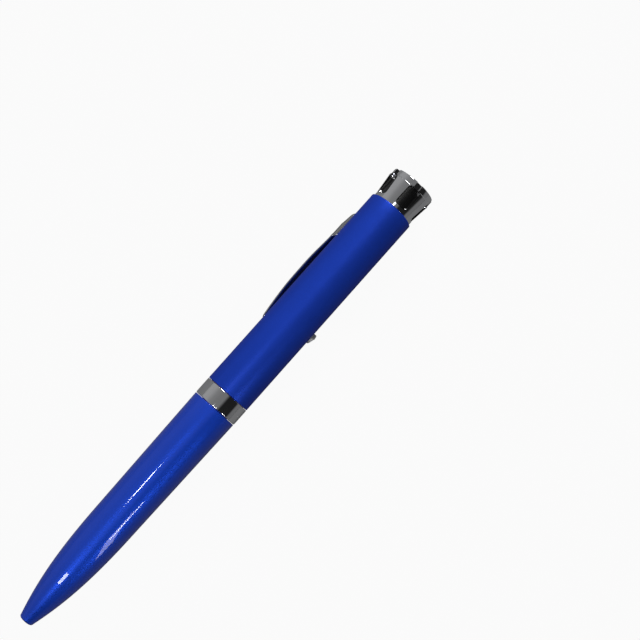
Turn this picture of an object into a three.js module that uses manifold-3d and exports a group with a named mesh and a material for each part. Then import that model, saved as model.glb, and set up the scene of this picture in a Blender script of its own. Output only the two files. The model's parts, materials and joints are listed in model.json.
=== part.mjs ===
// Twist-action ballpoint pen with a small lamp that throws a picture from its head end.
// Units are millimetres. The pen lies level: +X runs from the writing tip to the lamp head, +Z is up and
// +Y is the side that the clip leans to. Every station is a distance along the axis from the nose's face.

import * as THREE from 'three';
import { mergeVertices } from 'three/addons/utils/BufferGeometryUtils.js';
import Module from 'manifold-3d';

const wasm = await Module();
wasm.setup();

// Faces round a turned piece
const outerSides = 40;
const innerSides = 24;
const smallSides = 12;

// Fits
const seam = 0.1; // open joint between neighbours on the axis
const pressGap = 0.1; // radial gap of a piece held tight in its bore
const slipGap = 0.15; // radial gap of a piece that slides or turns

// Barrels
const barrelDiameter = 12.0;
const barrelWall = 0.6;
const edgeBreak = 0.15;
const lowerBarrelLength = 66.0;
const lowerBarrelStep = 0.05; // its rear stands this far inside the ring's rim
const lowerBarrelWall = 1.1;
const ringLength = 4.5;
const ringRollWanted = 0.8;
const ringRim = 0.05; // least flat face left beside its bore

// Blunt nose: rounded end, then one smooth curve to the straight part
const tipHoleGap = 0.1;
const noseRim = 0.05;
const noseEdgeRadius = 0.6;
const noseSlope = 0.28;
const noseCurveLength = 29.4;
const noseShoulderStep = 0.5;
const noseFrontPull = 7.4;
const noseRearPull = 14.0;
const noseSteps = 14;

// Refill: a slim metal tube with a stop collar, a cone tip and a ball
const refillLength = 76.6;
const refillRecess = 1.0;
const refillTravel = 6.0;
const refillTubeDiameter = 2.3;
const refillTubeWall = 0.25;
const refillTipLength = 11.0;
const refillTipDiameter = 2.1;
const refillConeLength = 3.2;
const refillConeFrontDiameter = 0.9;
const refillSpigotLength = 3.0;
const refillConeRim = 0.04;
const refillBallDiameter = 0.7;
const refillBallProud = 0.25;
const refillCollarRise = 0.15; // beyond the middle of the spring's wire
const refillCollarLength = 0.8;
const refillPlugLength = 2.0;

// Return spring round the refill
const springSeatStation = 8.0;
const springLength = 15.6;
const springWire = 0.4;
const springInnerGap = 0.3;
const springOuterGap = 0.35;
const boreConeLength = 5.0;
const springCurls = 10;
const springEndGap = 0.3;

// Twist mechanism
const threadLength = 8.1;
const threadDepth = 0.2;
const threadRunOut = 0.8;
const threadTurns = 4;
const collarWall = 0.5;
const camWall = 1.0;
const camRunningGap = 0.3;
const camTail = 6.5; // beyond the pin
const housingWall = 1.1;
const housingTail = 3.0; // beyond the sleeve
const housingSpigotWall = 0.75;
const twistAngle = Math.PI;
const plungerLength = 9.4;
const plungerSocketDepth = 3.2;
const plungerSocketGap = 0.2;
const plungerPinDiameter = 1.2;
const plungerPinFromRear = 2.5;
const pinTrackGap = 0.25;
const snapRingThickness = 0.7;
const snapRingWidth = 1.3;
const snapRingGrooveDepth = 0.5;
const snapRingOpening = 0.7;

// Lamp switch, its board and the push button
const switchBayLength = 8.0;
const switchBayGap = 0.7;
const switchEdgeGap = 0.1;
const buttonAngle = THREE.MathUtils.degToRad(-103);
const buttonDiameter = 2.9;
const buttonProud = 0.85;
const buttonSlant = THREE.MathUtils.degToRad(11);
const buttonTravel = 0.5;
const buttonFlangeOverhang = 0.55;
const buttonFlangeThickness = 0.6;
const buttonFlangeGap = 0.15;
const boardEdgeGap = 0.65;
const boardThickness = 0.8;
const carrierWall = 0.9;
const switchWidth = 4.4;
const switchHeight = 1.0;
const switchPlungerDiameter = 2.0;
const switchPlungerProud = 0.8;
const resistorLength = 1.6;
const resistorWidth = 0.8;
const resistorHeight = 0.5;
const resistorFromEnd = 0.4;

// Button cells and their contacts
const cellDiameter = 7.9;
const cellHeight = 3.6;
const cellCount = 3;
const cellCapDiameter = 6.2;
const cellCapHeight = 0.35;
const contactThickness = 0.4;
const contactEdgeGap = 0.3;
const contactSpringLength = 2.5;
const contactSpringWire = 0.4;
const contactSpringBaseDiameter = 6.4;
const contactSpringTopDiameter = 3.6;
const contactSpringCurls = 3;

// Lamp and picture slide
const ledDiameter = 3.0;
const ledFlangeDiameter = 3.8;
const ledFlangeThickness = 1.0;
const ledLength = 5.3;
const ledSetback = 0.5;
const condenserGap = 0.5; // from the lamp's dome
const condenserSeatDepth = 0.3;
const lensSeatLedge = 0.6;
const condenserDiameter = 7.3;
const condenserThickness = 1.5;
const condenserCrown = 0.9;
const slideDiameter = 8.1;
const slideThickness = 0.5;
const slideWindowDiameter = 6.6;
const slideSeatDepth = 0.4;
const slideRetainerThickness = 0.5;

// Focus guide, lens cell and lens
const guideFlangeThickness = 0.8;
const guideTubeLength = 6.3;
const guideWall = 0.4;
const lensCellTubeLength = 5.3;
const lensCellWall = 0.75;
const lensCellGap = 0.5; // from the guide's end
const lensCellFlangeLength = 3.2;
const lensSeatWall = 0.6;
const lensThickness = 1.9;
const lensCrown = 0.7;
const lensLip = 0.7;
const lensRetainerThickness = 0.5;
const lensRetainerWidth = 0.55;
const lensRetainerSlope = 0.25;
const lugCount = 5;
const lugWidth = 1.1;
const lugLength = 1.6;
const lugSetback = 0.2;
const lugHeight = 0.6;

// Fluted lamp head
const headLength = 8.3;
const headBaseStep = 0.425; // below the barrel's face
const headFlareRise = 0.25; // above the barrel's face
const headEndRise = 0.05; // above the barrel's face
const headBandLength = 1.0;
const headFlareStation = 6.8;
const headFlareLand = 0.2;
const headNeckLength = 4.9;
const headNeckGap = 0.3;
const headNeckWall = 0.5;
const headLipRise = 0.45;
const headLipThickness = 1.9;
const headMouthFlare = 0.5;
const fluteCount = 5;
const fluteWidth = 3.7;
const fluteFloorWall = 0.35;
const fluteCornerRadius = 0.9;
const firstFluteAngle = THREE.MathUtils.degToRad(-10.5);
const frictionRingWire = 0.3;
const frictionRingGap = 0.03;

// Clip: a bowed strip on a solid foot that a rivet holds
const clipAngle = THREE.MathUtils.degToRad(125);
const clipLength = 34.9;
const clipRearSetback = 5.6;
const clipFootLength = 7.7;
const clipFootFlat = 3.1;
const clipFootHeight = 1.4;
const clipFootTailHeight = 0.45;
const clipFootTailLength = 1.6;
const clipFootTailRise = 0.4;
const clipCrestHeight = 1.9;
const clipCrestFromTip = 18.0;
const clipTipHeight = 0.85;
const clipThickness = 0.7;
const clipWidth = 3.5;
const clipTipWidth = 2.4;
const clipFootWidth = 3.9;
const clipFootCornerRadius = 1.4;
const clipFootBlend = 3.0;
const clipTipTaper = 9.0;
const clipSeatGap = 0.12;
const clipSplit = 0.3;
const clipSteps = 12;
const rivetFromFront = 1.7;
const rivetDiameter = 1.5;
const rivetHeadDiameter = 2.4;
const rivetHeadThickness = 0.4;
const rivetTailDepth = 0.8; // below the bore's face

// Stations and radii that follow from the sizes above
const barrelRadius = barrelDiameter / 2;
const boreRadius = barrelRadius - barrelWall;
const fittedRadius = boreRadius - pressGap;
const tipHoleRadius = refillTubeDiameter / 2 + tipHoleGap;
const springRadius = refillTubeDiameter / 2 + springInnerGap + springWire / 2;
const springChamberRadius = springRadius + springWire / 2 + springOuterGap;
const refillEnd = refillRecess + refillLength;
const springEnd = springSeatStation + springEndGap + springLength;
const refillCollarStart = springEnd + springEndGap;
const plungerStart = refillEnd + plungerSocketGap - plungerSocketDepth;
const pinStation = plungerStart + plungerLength - plungerPinFromRear;
const ringStart = lowerBarrelLength + seam;
const upperStart = ringStart + ringLength + seam;
const housingInnerRadius = fittedRadius - housingWall;
const housingSpigotRadius = housingInnerRadius + housingSpigotWall;
const camRadius = housingInnerRadius - camRunningGap;
const camBoreRadius = camRadius - camWall;
const camStart = lowerBarrelLength - seam - threadLength;
const camEnd = pinStation + camTail;
const housingEnd = camEnd + housingTail;
const collarBoreRadius = camRadius + pressGap;
const collarRootRadius = collarBoreRadius + collarWall;
const collarRadius = collarRootRadius + threadDepth;
const threadBoreRadius = collarRadius + slipGap;
const switchStart = housingEnd + switchBayGap;
const switchEnd = switchStart + switchBayLength;
const buttonStation = switchStart + switchEdgeGap + switchWidth / 2;
const buttonFlangeRadius = buttonDiameter / 2 + buttonFlangeOverhang;
const buttonFlangeTop = Math.sqrt(boreRadius ** 2 - buttonFlangeRadius ** 2) - buttonFlangeGap;
const buttonBottom = buttonFlangeTop - buttonFlangeThickness;
const switchTop = buttonBottom - seam - switchPlungerProud;
const boardTop = switchTop - switchHeight - seam;
const boardHeight = boardTop - boardThickness;
const frontContactStart = switchEnd + seam;
const contactSpringStart = frontContactStart + contactThickness + 2 * seam;
const cellStart = contactSpringStart + contactSpringLength + seam;
const cellPitch = cellHeight + seam;
const cellEnd = cellStart + cellCount * cellPitch - seam;
const rearContactStart = cellEnd + seam;
const lampStart = rearContactStart + contactThickness + seam;
const condenserStart = lampStart + ledSetback + ledLength + condenserGap;
const lampEnd = condenserStart + condenserThickness + condenserSeatDepth;
const slideHolderStart = lampEnd + seam;
const slideStart = slideHolderStart + slideSeatDepth;
const slideRetainerStart = slideStart + slideThickness + seam;
const slideHolderEnd = slideRetainerStart + slideRetainerThickness;
const guideStart = slideHolderEnd + seam;
const guideTubeStart = guideStart + guideFlangeThickness;
const guideEnd = guideTubeStart + guideTubeLength;
const neckStart = guideTubeStart + headNeckGap;
const barrelEnd = neckStart + headNeckLength;
const headStart = barrelEnd + seam;
const headEnd = headStart + headLength;
const neckRadius = boreRadius - slipGap;
const neckBoreRadius = neckRadius - headNeckWall;
const guideRadius = neckBoreRadius - slipGap;
const guideBoreRadius = guideRadius - guideWall;
const lensCellRadius = guideBoreRadius - slipGap;
const lensCellFlangeStart = guideEnd + lensCellGap;
const lensCellEnd = lensCellFlangeStart + lensCellFlangeLength;
const lensCellStart = lensCellFlangeStart - lensCellTubeLength;
const lensStart = lensCellFlangeStart + lensLip;
const lensDiameter = 2 * (guideRadius - lensSeatWall - pressGap);
const headLipStart = headEnd - headLipThickness;
const fluteFloor = neckBoreRadius + fluteFloorWall;
const clipRear = barrelEnd - clipRearSetback;
const clipFront = clipRear - clipLength;
const clipFootFront = clipRear - clipFootLength;
const clipInnerHeight = barrelRadius + clipSeatGap;
const rivetStation = clipFootFront + rivetFromFront;

// Finishes
const finishes = {
  glossBlue: new THREE.MeshStandardMaterial({ color: '#1b2b9c', roughness: 0.12, metalness: 0.5 }),
  satinBlue: new THREE.MeshStandardMaterial({ color: '#2036ac', roughness: 0.38, metalness: 0.6 }),
  chrome: new THREE.MeshStandardMaterial({ color: '#c9cacc', roughness: 0.08, metalness: 1 }),
  steel: new THREE.MeshStandardMaterial({ color: '#a9abae', roughness: 0.3, metalness: 1 }),
  brass: new THREE.MeshStandardMaterial({ color: '#b8954a', roughness: 0.35, metalness: 1 }),
  carbide: new THREE.MeshStandardMaterial({ color: '#5d6066', roughness: 0.2, metalness: 1 }),
  blackPlastic: new THREE.MeshStandardMaterial({ color: '#18191b', roughness: 0.5, metalness: 0 }),
  whitePlastic: new THREE.MeshStandardMaterial({ color: '#e6e6e2', roughness: 0.5, metalness: 0 }),
  boardGreen: new THREE.MeshStandardMaterial({ color: '#1d5b36', roughness: 0.45, metalness: 0 }),
  clearLens: new THREE.MeshStandardMaterial({ color: '#e9f0f4', roughness: 0.04, metalness: 0 }),
  film: new THREE.MeshStandardMaterial({ color: '#c7b98e', roughness: 0.2, metalness: 0 }),
  rubber: new THREE.MeshStandardMaterial({ color: '#1f1f1f', roughness: 0.8, metalness: 0 }),
};

// Turns a list of [station, radius] into a solid of revolution about +X.
// The list starts and ends on the axis, or is a loop that closes on its first point.
function turned(outline, sides = innerSides) {
  const points = outline.map(([station, radius]) => new THREE.Vector2(radius, station));
  const last = points[points.length - 1];
  if (points[0].x > 0 || last.x > 0) points.push(points[0].clone());
  if (THREE.ShapeUtils.area(points) < 0) points.reverse();
  const geometry = new THREE.LatheGeometry(points, sides, Math.PI / sides);
  return geometry.rotateZ(-Math.PI / 2);
}

function tube(start, end, outerRadius, innerRadius, sides = innerSides) {
  return turned([[start, innerRadius], [start, outerRadius], [end, outerRadius], [end, innerRadius]], sides);
}

function disc(start, end, radius, sides = innerSides) {
  return turned([[start, 0], [start, radius], [end, radius], [end, 0]], sides);
}

// Points of a round corner between two angles, in degrees from +X towards growing radius
function corner(station, radius, bend, fromDegrees, toDegrees, steps = 4) {
  return Array.from({ length: steps + 1 }, (_, i) => {
    const angle = THREE.MathUtils.degToRad(fromDegrees + ((toDegrees - fromDegrees) * i) / steps);
    return [station + bend * Math.cos(angle), radius + bend * Math.sin(angle)];
  });
}

// Joins rings of points, each ring a convex loop of the same count, into one capped solid
function loft(rings) {
  const count = rings[0].length;
  const positions = rings.flat().flatMap((point) => point.toArray());
  const index = [];
  for (let ring = 0; ring < rings.length - 1; ring += 1) {
    for (let i = 0; i < count; i += 1) {
      const a = ring * count + i;
      const b = ring * count + ((i + 1) % count);
      index.push(a, b, a + count, b, b + count, a + count);
    }
  }
  const lastRing = (rings.length - 1) * count;
  for (let i = 1; i < count - 1; i += 1) {
    index.push(0, i + 1, i, lastRing, lastRing + i, lastRing + i + 1);
  }
  const geometry = new THREE.BufferGeometry();
  geometry.setAttribute('position', new THREE.Float32BufferAttribute(positions, 3));
  geometry.setIndex(index);
  return geometry;
}

// A point at a station, a distance from the axis and a turn about +X that starts at +Y
function around(station, radius, angle) {
  return new THREE.Vector3(station, radius * Math.cos(angle), radius * Math.sin(angle));
}

// Wire wound about +X: 8 steps of 5 sides per curl
function coil(start, end, startRadius, endRadius, wire, curls) {
  const steps = curls * 8;
  const centres = Array.from({ length: steps + 1 }, (_, i) => {
    const share = i / steps;
    const radius = THREE.MathUtils.lerp(startRadius, endRadius, share);
    const station = THREE.MathUtils.lerp(start + wire / 2, end - wire / 2, share);
    return around(station, radius, share * curls * 2 * Math.PI);
  });
  const rings = centres.map((centre, i) => {
    const before = centres[Math.max(i - 1, 0)];
    const after = centres[Math.min(i + 1, steps)];
    const along = after.clone().sub(before).normalize();
    const outward = new THREE.Vector3(0, centre.y, centre.z).normalize();
    const across = new THREE.Vector3().crossVectors(along, outward).normalize();
    return Array.from({ length: 5 }, (_, side) => {
      const angle = (side * 2 * Math.PI) / 5;
      return centre.clone()
        .addScaledVector(outward, (wire / 2) * Math.cos(angle))
        .addScaledVector(across, (wire / 2) * Math.sin(angle));
    });
  });
  let gap = Infinity;
  for (let i = 0; i < centres.length; i += 1) {
    for (let j = i + 5; j < centres.length; j += 1) gap = Math.min(gap, centres[i].distanceTo(centres[j]));
  }
  console.log(`coil at ${start.toFixed(1)}: least gap to itself ${(gap - wire).toFixed(2)} mm`);
  return loft(rings);
}

// Turns a closed geometry into a solid for cutting and joining
function solid(geometry) {
  const bare = geometry.clone();
  bare.deleteAttribute('normal');
  bare.deleteAttribute('uv');
  const merged = mergeVertices(bare, 1e-4);
  const corners = merged.index.array;
  const kept = [];
  for (let i = 0; i < corners.length; i += 3) {
    const [a, b, c] = corners.slice(i, i + 3);
    if (a !== b && b !== c && c !== a) kept.push(a, b, c);
  }
  return new wasm.Manifold(new wasm.Mesh({
    numProp: 3,
    vertProperties: new Float32Array(merged.attributes.position.array),
    triVerts: new Uint32Array(kept),
  }));
}

function geometryOf(body) {
  const mesh = body.getMesh();
  const geometry = new THREE.BufferGeometry();
  geometry.setAttribute('position', new THREE.BufferAttribute(mesh.vertProperties, 3));
  geometry.setIndex(new THREE.BufferAttribute(mesh.triVerts, 1));
  return geometry;
}

function cut(geometry, ...cutters) {
  return geometryOf(cutters.reduce((body, cutter) => body.subtract(solid(cutter)), solid(geometry)));
}

function join(geometry, ...others) {
  return geometryOf(others.reduce((body, other) => body.add(solid(other)), solid(geometry)));
}

function common(geometry, other) {
  return geometryOf(solid(geometry).intersect(solid(other)));
}

// Upright round bar on local +Z, between two heights
function post(station, radius, low, high, sides = smallSides) {
  const geometry = new THREE.CylinderGeometry(radius, radius, high - low, sides);
  return geometry.rotateX(Math.PI / 2).translate(station, 0, (low + high) / 2);
}

// Block between two stations and two heights, centred across
function block(start, end, width, low, high) {
  const geometry = new THREE.BoxGeometry(end - start, width, high - low);
  return geometry.translate((start + end) / 2, 0, (low + high) / 2);
}

// Turns a geometry modelled on local +Z to an angle about the axis, from +Z towards +Y
function facing(geometry, angle) {
  return geometry.rotateX(-angle);
}

const pen = new THREE.Group();

function add(name, geometry, material, parent = pen) {
  const mesh = new THREE.Mesh(geometry, material);
  mesh.name = name;
  parent.add(mesh);
}

// Lower barrel: blunt gloss nose, hollow for the refill and its spring, threaded at the rear
function lowerBarrel() {
  const noseRadius = tipHoleRadius + noseRim + noseEdgeRadius;
  const shoulder = noseEdgeRadius + noseCurveLength;
  const rearRadius = barrelRadius - lowerBarrelStep;
  const shoulderRadius = barrelRadius - noseShoulderStep;
  const rearSlope = (rearRadius - shoulderRadius) / (lowerBarrelLength - shoulder);
  const curve = new THREE.CubicBezierCurve(
    new THREE.Vector2(noseEdgeRadius, noseRadius),
    new THREE.Vector2(noseEdgeRadius + noseFrontPull, noseRadius + noseSlope * noseFrontPull),
    new THREE.Vector2(shoulder - noseRearPull, shoulderRadius - rearSlope * noseRearPull),
    new THREE.Vector2(shoulder, shoulderRadius),
  );
  const chamberEnd = refillCollarStart + refillCollarLength;
  const threadStart = camStart - threadRunOut / 2;
  const outline = [
    [0, tipHoleRadius],
    ...corner(noseEdgeRadius, noseRadius - noseEdgeRadius, noseEdgeRadius, 180, 90, 3),
    ...curve.getPoints(noseSteps).slice(1).map((point) => [point.x, point.y]),
    [lowerBarrelLength - edgeBreak, rearRadius],
    [lowerBarrelLength, rearRadius - edgeBreak],
    [lowerBarrelLength, threadBoreRadius],
    [threadStart, threadBoreRadius],
    [threadStart, collarRootRadius],
    [chamberEnd + boreConeLength, shoulderRadius - lowerBarrelWall],
    [chamberEnd, springChamberRadius],
    [springSeatStation, springChamberRadius],
    [springSeatStation, tipHoleRadius],
  ];
  return turned(outline, outerSides);
}

function refillTube() {
  const radius = refillTubeDiameter / 2;
  const start = refillRecess + refillTipLength + seam;
  const collarRise = springRadius + refillCollarRise;
  return turned([
    [start, radius - refillTubeWall],
    [start, radius],
    [refillCollarStart, radius],
    [refillCollarStart, collarRise],
    [refillCollarStart + refillCollarLength, collarRise],
    [refillCollarStart + refillCollarLength, radius],
    [refillEnd, radius],
    [refillEnd, radius - refillTubeWall],
  ], smallSides);
}

// Cone tip with the socket that holds the ball, and a spigot that plugs into the tube
function refillTip() {
  const mouth = refillRecess + refillBallProud;
  const socketRadius = refillConeFrontDiameter / 2 - refillConeRim;
  const socketEnd = refillRecess + refillBallDiameter + seam;
  const tipEnd = refillRecess + refillTipLength;
  const spigotRadius = refillTubeDiameter / 2 - refillTubeWall - pressGap;
  return turned([
    [socketEnd, 0],
    [socketEnd, socketRadius],
    [mouth, socketRadius],
    [mouth, refillConeFrontDiameter / 2],
    [mouth + refillConeLength, refillTipDiameter / 2],
    [tipEnd, refillTipDiameter / 2],
    [tipEnd, spigotRadius],
    [tipEnd + refillSpigotLength, spigotRadius],
    [tipEnd + refillSpigotLength, 0],
  ], smallSides);
}

function refillBall() {
  const radius = refillBallDiameter / 2;
  return new THREE.SphereGeometry(radius, 12, 8).rotateZ(Math.PI / 2).translate(refillRecess + radius, 0, 0);
}

function refillPlug() {
  const radius = refillTubeDiameter / 2 - refillTubeWall - pressGap;
  return disc(refillEnd - refillPlugLength, refillEnd - seam, radius, smallSides);
}

// Threaded bush that the lower barrel screws on to, bonded round the cam sleeve's front end
function twistCollar() {
  const end = camStart + threadLength;
  const pitch = (threadLength - 2 * threadRunOut) / threadTurns;
  const ridges = [];
  for (let turn = 0; turn < threadTurns; turn += 1) {
    const foot = camStart + threadRunOut + turn * pitch;
    ridges.push(
      [foot, collarRootRadius],
      [foot + pitch * 0.4, collarRadius],
      [foot + pitch * 0.8, collarRootRadius],
    );
  }
  return turned([
    [camStart, collarBoreRadius],
    [camStart, collarRootRadius],
    ...ridges,
    [end, collarRootRadius],
    [end, collarBoreRadius],
  ]);
}

// Bar that sweeps the pin's helical path through the sleeve's wall, widened by the track gap
function camTrack(startAngle) {
  const steps = 12;
  const inner = camBoreRadius - camWall / 2;
  const outer = camRadius + camWall / 2;
  const meanRadius = (camRadius + camBoreRadius) / 2;
  const rise = refillTravel / twistAngle;
  const halfWidth = (plungerPinDiameter / 2 + pinTrackGap) * Math.hypot(1, rise / meanRadius);
  const overrun = (plungerPinDiameter / 2 + pinTrackGap) / meanRadius;
  const rings = Array.from({ length: steps + 1 }, (_, i) => {
    const turn = THREE.MathUtils.lerp(-overrun, twistAngle + overrun, i / steps);
    const station = pinStation - rise * turn;
    const angle = startAngle - turn;
    return [
      around(station - halfWidth, inner, angle),
      around(station - halfWidth, outer, angle),
      around(station + halfWidth, outer, angle),
      around(station + halfWidth, inner, angle),
    ];
  });
  return loft(rings);
}

function camSleeve() {
  return cut(tube(camStart, camEnd, camRadius, camBoreRadius), camTrack(0), camTrack(Math.PI));
}

// Tube pressed into the upper barrel, with straight tracks that keep the pin from turning
function mechanismHousing() {
  const front = ringStart + 2 * seam;
  const shoulder = upperStart + 2 * seam;
  const grooveRadius = housingInnerRadius + snapRingGrooveDepth;
  const grooveStart = camEnd;
  const grooveEnd = grooveStart + snapRingThickness + 2 * slipGap;
  const body = turned([
    [front, housingInnerRadius],
    [front, housingSpigotRadius],
    [shoulder, housingSpigotRadius],
    [shoulder, fittedRadius],
    [housingEnd, fittedRadius],
    [housingEnd, housingInnerRadius],
    [grooveEnd, housingInnerRadius],
    [grooveEnd, grooveRadius],
    [grooveStart, grooveRadius],
    [grooveStart, housingInnerRadius],
  ]);
  const reach = plungerPinDiameter / 2 + pinTrackGap;
  const track = new THREE.BoxGeometry(refillTravel + 2 * reach, 4 * barrelRadius, 2 * reach);
  return cut(body, track.translate(pinStation - refillTravel / 2, 0, 0));
}

function snapRing() {
  const start = camEnd + slipGap;
  const end = start + snapRingThickness;
  const outer = housingInnerRadius + snapRingGrooveDepth - slipGap;
  const ring = tube(start, end, outer, outer - snapRingWidth);
  return cut(ring, block(start - seam, end + seam, snapRingOpening, 0, 2 * outer));
}

function plunger() {
  const radius = camBoreRadius - slipGap;
  const socketRadius = refillTubeDiameter / 2 + slipGap;
  const end = plungerStart + plungerLength;
  const socketEnd = plungerStart + plungerSocketDepth;
  const body = turned([
    [socketEnd, 0],
    [socketEnd, socketRadius],
    [plungerStart, socketRadius],
    [plungerStart, radius - edgeBreak],
    [plungerStart + edgeBreak, radius],
    [end, radius],
    [end, 0],
  ]);
  const hole = new THREE.CylinderGeometry(1, 1, 4 * radius, smallSides);
  const holeRadius = plungerPinDiameter / 2 + pressGap;
  return cut(body, hole.scale(holeRadius, 1, holeRadius).translate(pinStation, 0, 0));
}

function plungerPin() {
  const length = 2 * (housingSpigotRadius - seam);
  const radius = plungerPinDiameter / 2;
  return new THREE.CylinderGeometry(radius, radius, length, smallSides).translate(pinStation, 0, 0);
}

// Bright ring between the barrels, rolled over on the nose side
function centreRing() {
  const end = ringStart + ringLength;
  const bore = housingSpigotRadius + pressGap;
  const roll = Math.min(ringRollWanted, barrelRadius - bore - ringRim);
  const rolled = corner(ringStart + roll, barrelRadius - roll, roll, 180, 90);
  return turned([
    [ringStart, bore],
    ...rolled,
    [end - edgeBreak, barrelRadius],
    [end, barrelRadius - edgeBreak],
    [end, bore],
  ], outerSides);
}

function upperBarrel() {
  const shell = turned([
    [upperStart, boreRadius],
    [upperStart, barrelRadius - edgeBreak],
    [upperStart + edgeBreak, barrelRadius],
    [barrelEnd - edgeBreak, barrelRadius],
    [barrelEnd, barrelRadius - edgeBreak],
    [barrelEnd, boreRadius],
  ], outerSides);
  const holeRadius = buttonDiameter / 2 + slipGap;
  const buttonHole = post(buttonStation, holeRadius, 0, 2 * barrelRadius, innerSides);
  const rivetHole = post(rivetStation, rivetDiameter / 2 + slipGap, 0, 2 * barrelRadius);
  return cut(shell, facing(buttonHole, buttonAngle), facing(rivetHole, clipAngle));
}

// D-shaped tube that fills the bore behind the board and holds it
function boardCarrier() {
  const outer = fittedRadius;
  const top = boardHeight - seam;
  const shell = cut(
    tube(switchStart, switchEnd, outer, outer - carrierWall),
    block(switchStart - seam, switchEnd + seam, 3 * outer, top, 2 * outer),
  );
  const deckHalf = Math.sqrt((outer - carrierWall / 2) ** 2 - top ** 2);
  return join(shell, block(switchStart, switchEnd, 2 * deckHalf, top - carrierWall, top));
}

function switchBoard() {
  const width = 2 * (Math.sqrt(fittedRadius ** 2 - boardTop ** 2) - boardEdgeGap);
  return block(switchStart, switchEnd, width, boardHeight, boardTop);
}

function switchHousing() {
  const half = switchWidth / 2;
  const low = boardTop + seam;
  const body = block(buttonStation - half, buttonStation + half, switchWidth, low, switchTop);
  const floor = switchTop - buttonTravel - slipGap;
  const recess = post(buttonStation, switchPlungerDiameter / 2 + slipGap, floor, switchTop + seam);
  return cut(body, recess);
}

function switchPlunger() {
  return post(buttonStation, switchPlungerDiameter / 2, switchTop - seam / 2, buttonBottom - seam);
}

function chipResistor() {
  const end = switchEnd - resistorFromEnd;
  const low = boardTop + seam;
  return block(end - resistorLength, end, resistorWidth, low, low + resistorHeight);
}

// Push button: flange inside the barrel, round stem through its wall, top slanted down to the nose
function buttonCap() {
  const radius = buttonDiameter / 2;
  const top = barrelRadius + buttonProud;
  const flange = post(buttonStation, buttonFlangeRadius, buttonBottom, buttonFlangeTop, innerSides);
  const stem = post(buttonStation, radius, buttonBottom, top, innerSides);
  const slant = block(-4 * radius, 2 * radius, 4 * radius, 0, 4 * radius);
  slant.rotateY(-buttonSlant).translate(buttonStation + radius * 0.55, 0, top);
  return cut(join(flange, stem), slant);
}

// Round button cell: steel can with a smaller cap on its negative side
function buttonCell(start) {
  const radius = cellDiameter / 2;
  const capRadius = cellCapDiameter / 2;
  return turned([
    [start, 0],
    [start, capRadius],
    [start + cellCapHeight, capRadius],
    [start + cellCapHeight, radius - edgeBreak],
    [start + cellCapHeight + edgeBreak, radius],
    [start + cellHeight - edgeBreak, radius],
    [start + cellHeight, radius - edgeBreak],
    [start + cellHeight, 0],
  ]);
}

function batteryTube() {
  return tube(contactSpringStart - seam, cellEnd, fittedRadius, cellDiameter / 2 + slipGap);
}

function contactDisc(start) {
  return disc(start, start + contactThickness, fittedRadius - contactEdgeGap);
}

function contactSpring() {
  return coil(
    contactSpringStart,
    contactSpringStart + contactSpringLength,
    contactSpringBaseDiameter / 2,
    contactSpringTopDiameter / 2,
    contactSpringWire,
    contactSpringCurls,
  );
}

// Lamp holder: seats the lamp's flange, opens as a cup and seats the condenser lens
function lampHolder() {
  const flangeRadius = ledFlangeDiameter / 2 + pressGap;
  const throatRadius = ledDiameter / 2 + pressGap;
  const seatRadius = condenserDiameter / 2 + pressGap;
  const flangeEnd = lampStart + ledSetback + ledFlangeThickness + seam;
  const body = turned([
    [lampStart, flangeRadius],
    [lampStart, fittedRadius],
    [lampEnd, fittedRadius],
    [lampEnd, seatRadius],
    [condenserStart - seam, seatRadius],
    [condenserStart - seam, seatRadius - lensSeatLedge],
    [flangeEnd + lensSeatLedge, throatRadius],
    [flangeEnd, throatRadius],
    [flangeEnd, flangeRadius],
  ]);
  const floor = boreRadius - rivetTailDepth - 2 * slipGap;
  const pocket = post(rivetStation, rivetHeadDiameter / 2 + 2 * slipGap, floor, 2 * barrelRadius);
  return cut(body, facing(pocket, clipAngle));
}

function lamp() {
  const start = lampStart + ledSetback;
  const radius = ledDiameter / 2;
  const domeCentre = start + ledLength - radius;
  return turned([
    [start, 0],
    [start, ledFlangeDiameter / 2],
    [start + ledFlangeThickness, ledFlangeDiameter / 2],
    [start + ledFlangeThickness, radius],
    ...corner(domeCentre, 0, radius, 90, 0).slice(0, -1),
    [start + ledLength, 0],
  ]);
}

// Lens with a flat face on the nose side and a crowned face on the other
function crownedLens(start, thickness, diameter, crown, sides = innerSides) {
  const radius = diameter / 2;
  const bend = (radius ** 2 + crown ** 2) / (2 * crown);
  const centre = start + thickness - bend;
  const sweep = THREE.MathUtils.radToDeg(Math.asin(radius / bend));
  return turned([
    [start, 0],
    [start, radius],
    ...corner(centre, 0, bend, sweep, 0).slice(0, -1),
    [start + thickness, 0],
  ], sides);
}

function slideHolder() {
  const seatRadius = slideDiameter / 2 + pressGap;
  return turned([
    [slideHolderStart, slideWindowDiameter / 2],
    [slideHolderStart, fittedRadius],
    [slideHolderEnd, fittedRadius],
    [slideHolderEnd, seatRadius],
    [slideStart - seam, seatRadius],
    [slideStart - seam, slideWindowDiameter / 2],
  ]);
}

function slideRetainer() {
  return tube(slideRetainerStart, slideHolderEnd, slideDiameter / 2, slideWindowDiameter / 2);
}

// Flanged tube in which the lens cell screws in and out
function focusGuide() {
  return turned([
    [guideStart, guideBoreRadius],
    [guideStart, fittedRadius],
    [guideTubeStart, fittedRadius],
    [guideTubeStart, guideRadius],
    [guideEnd, guideRadius],
    [guideEnd, guideBoreRadius],
  ]);
}

// Angle of a lug or keyway: each stands behind a rib of the head
function lugAngle(number) {
  return firstFluteAngle + Math.PI / fluteCount + (number * 2 * Math.PI) / lugCount;
}

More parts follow.
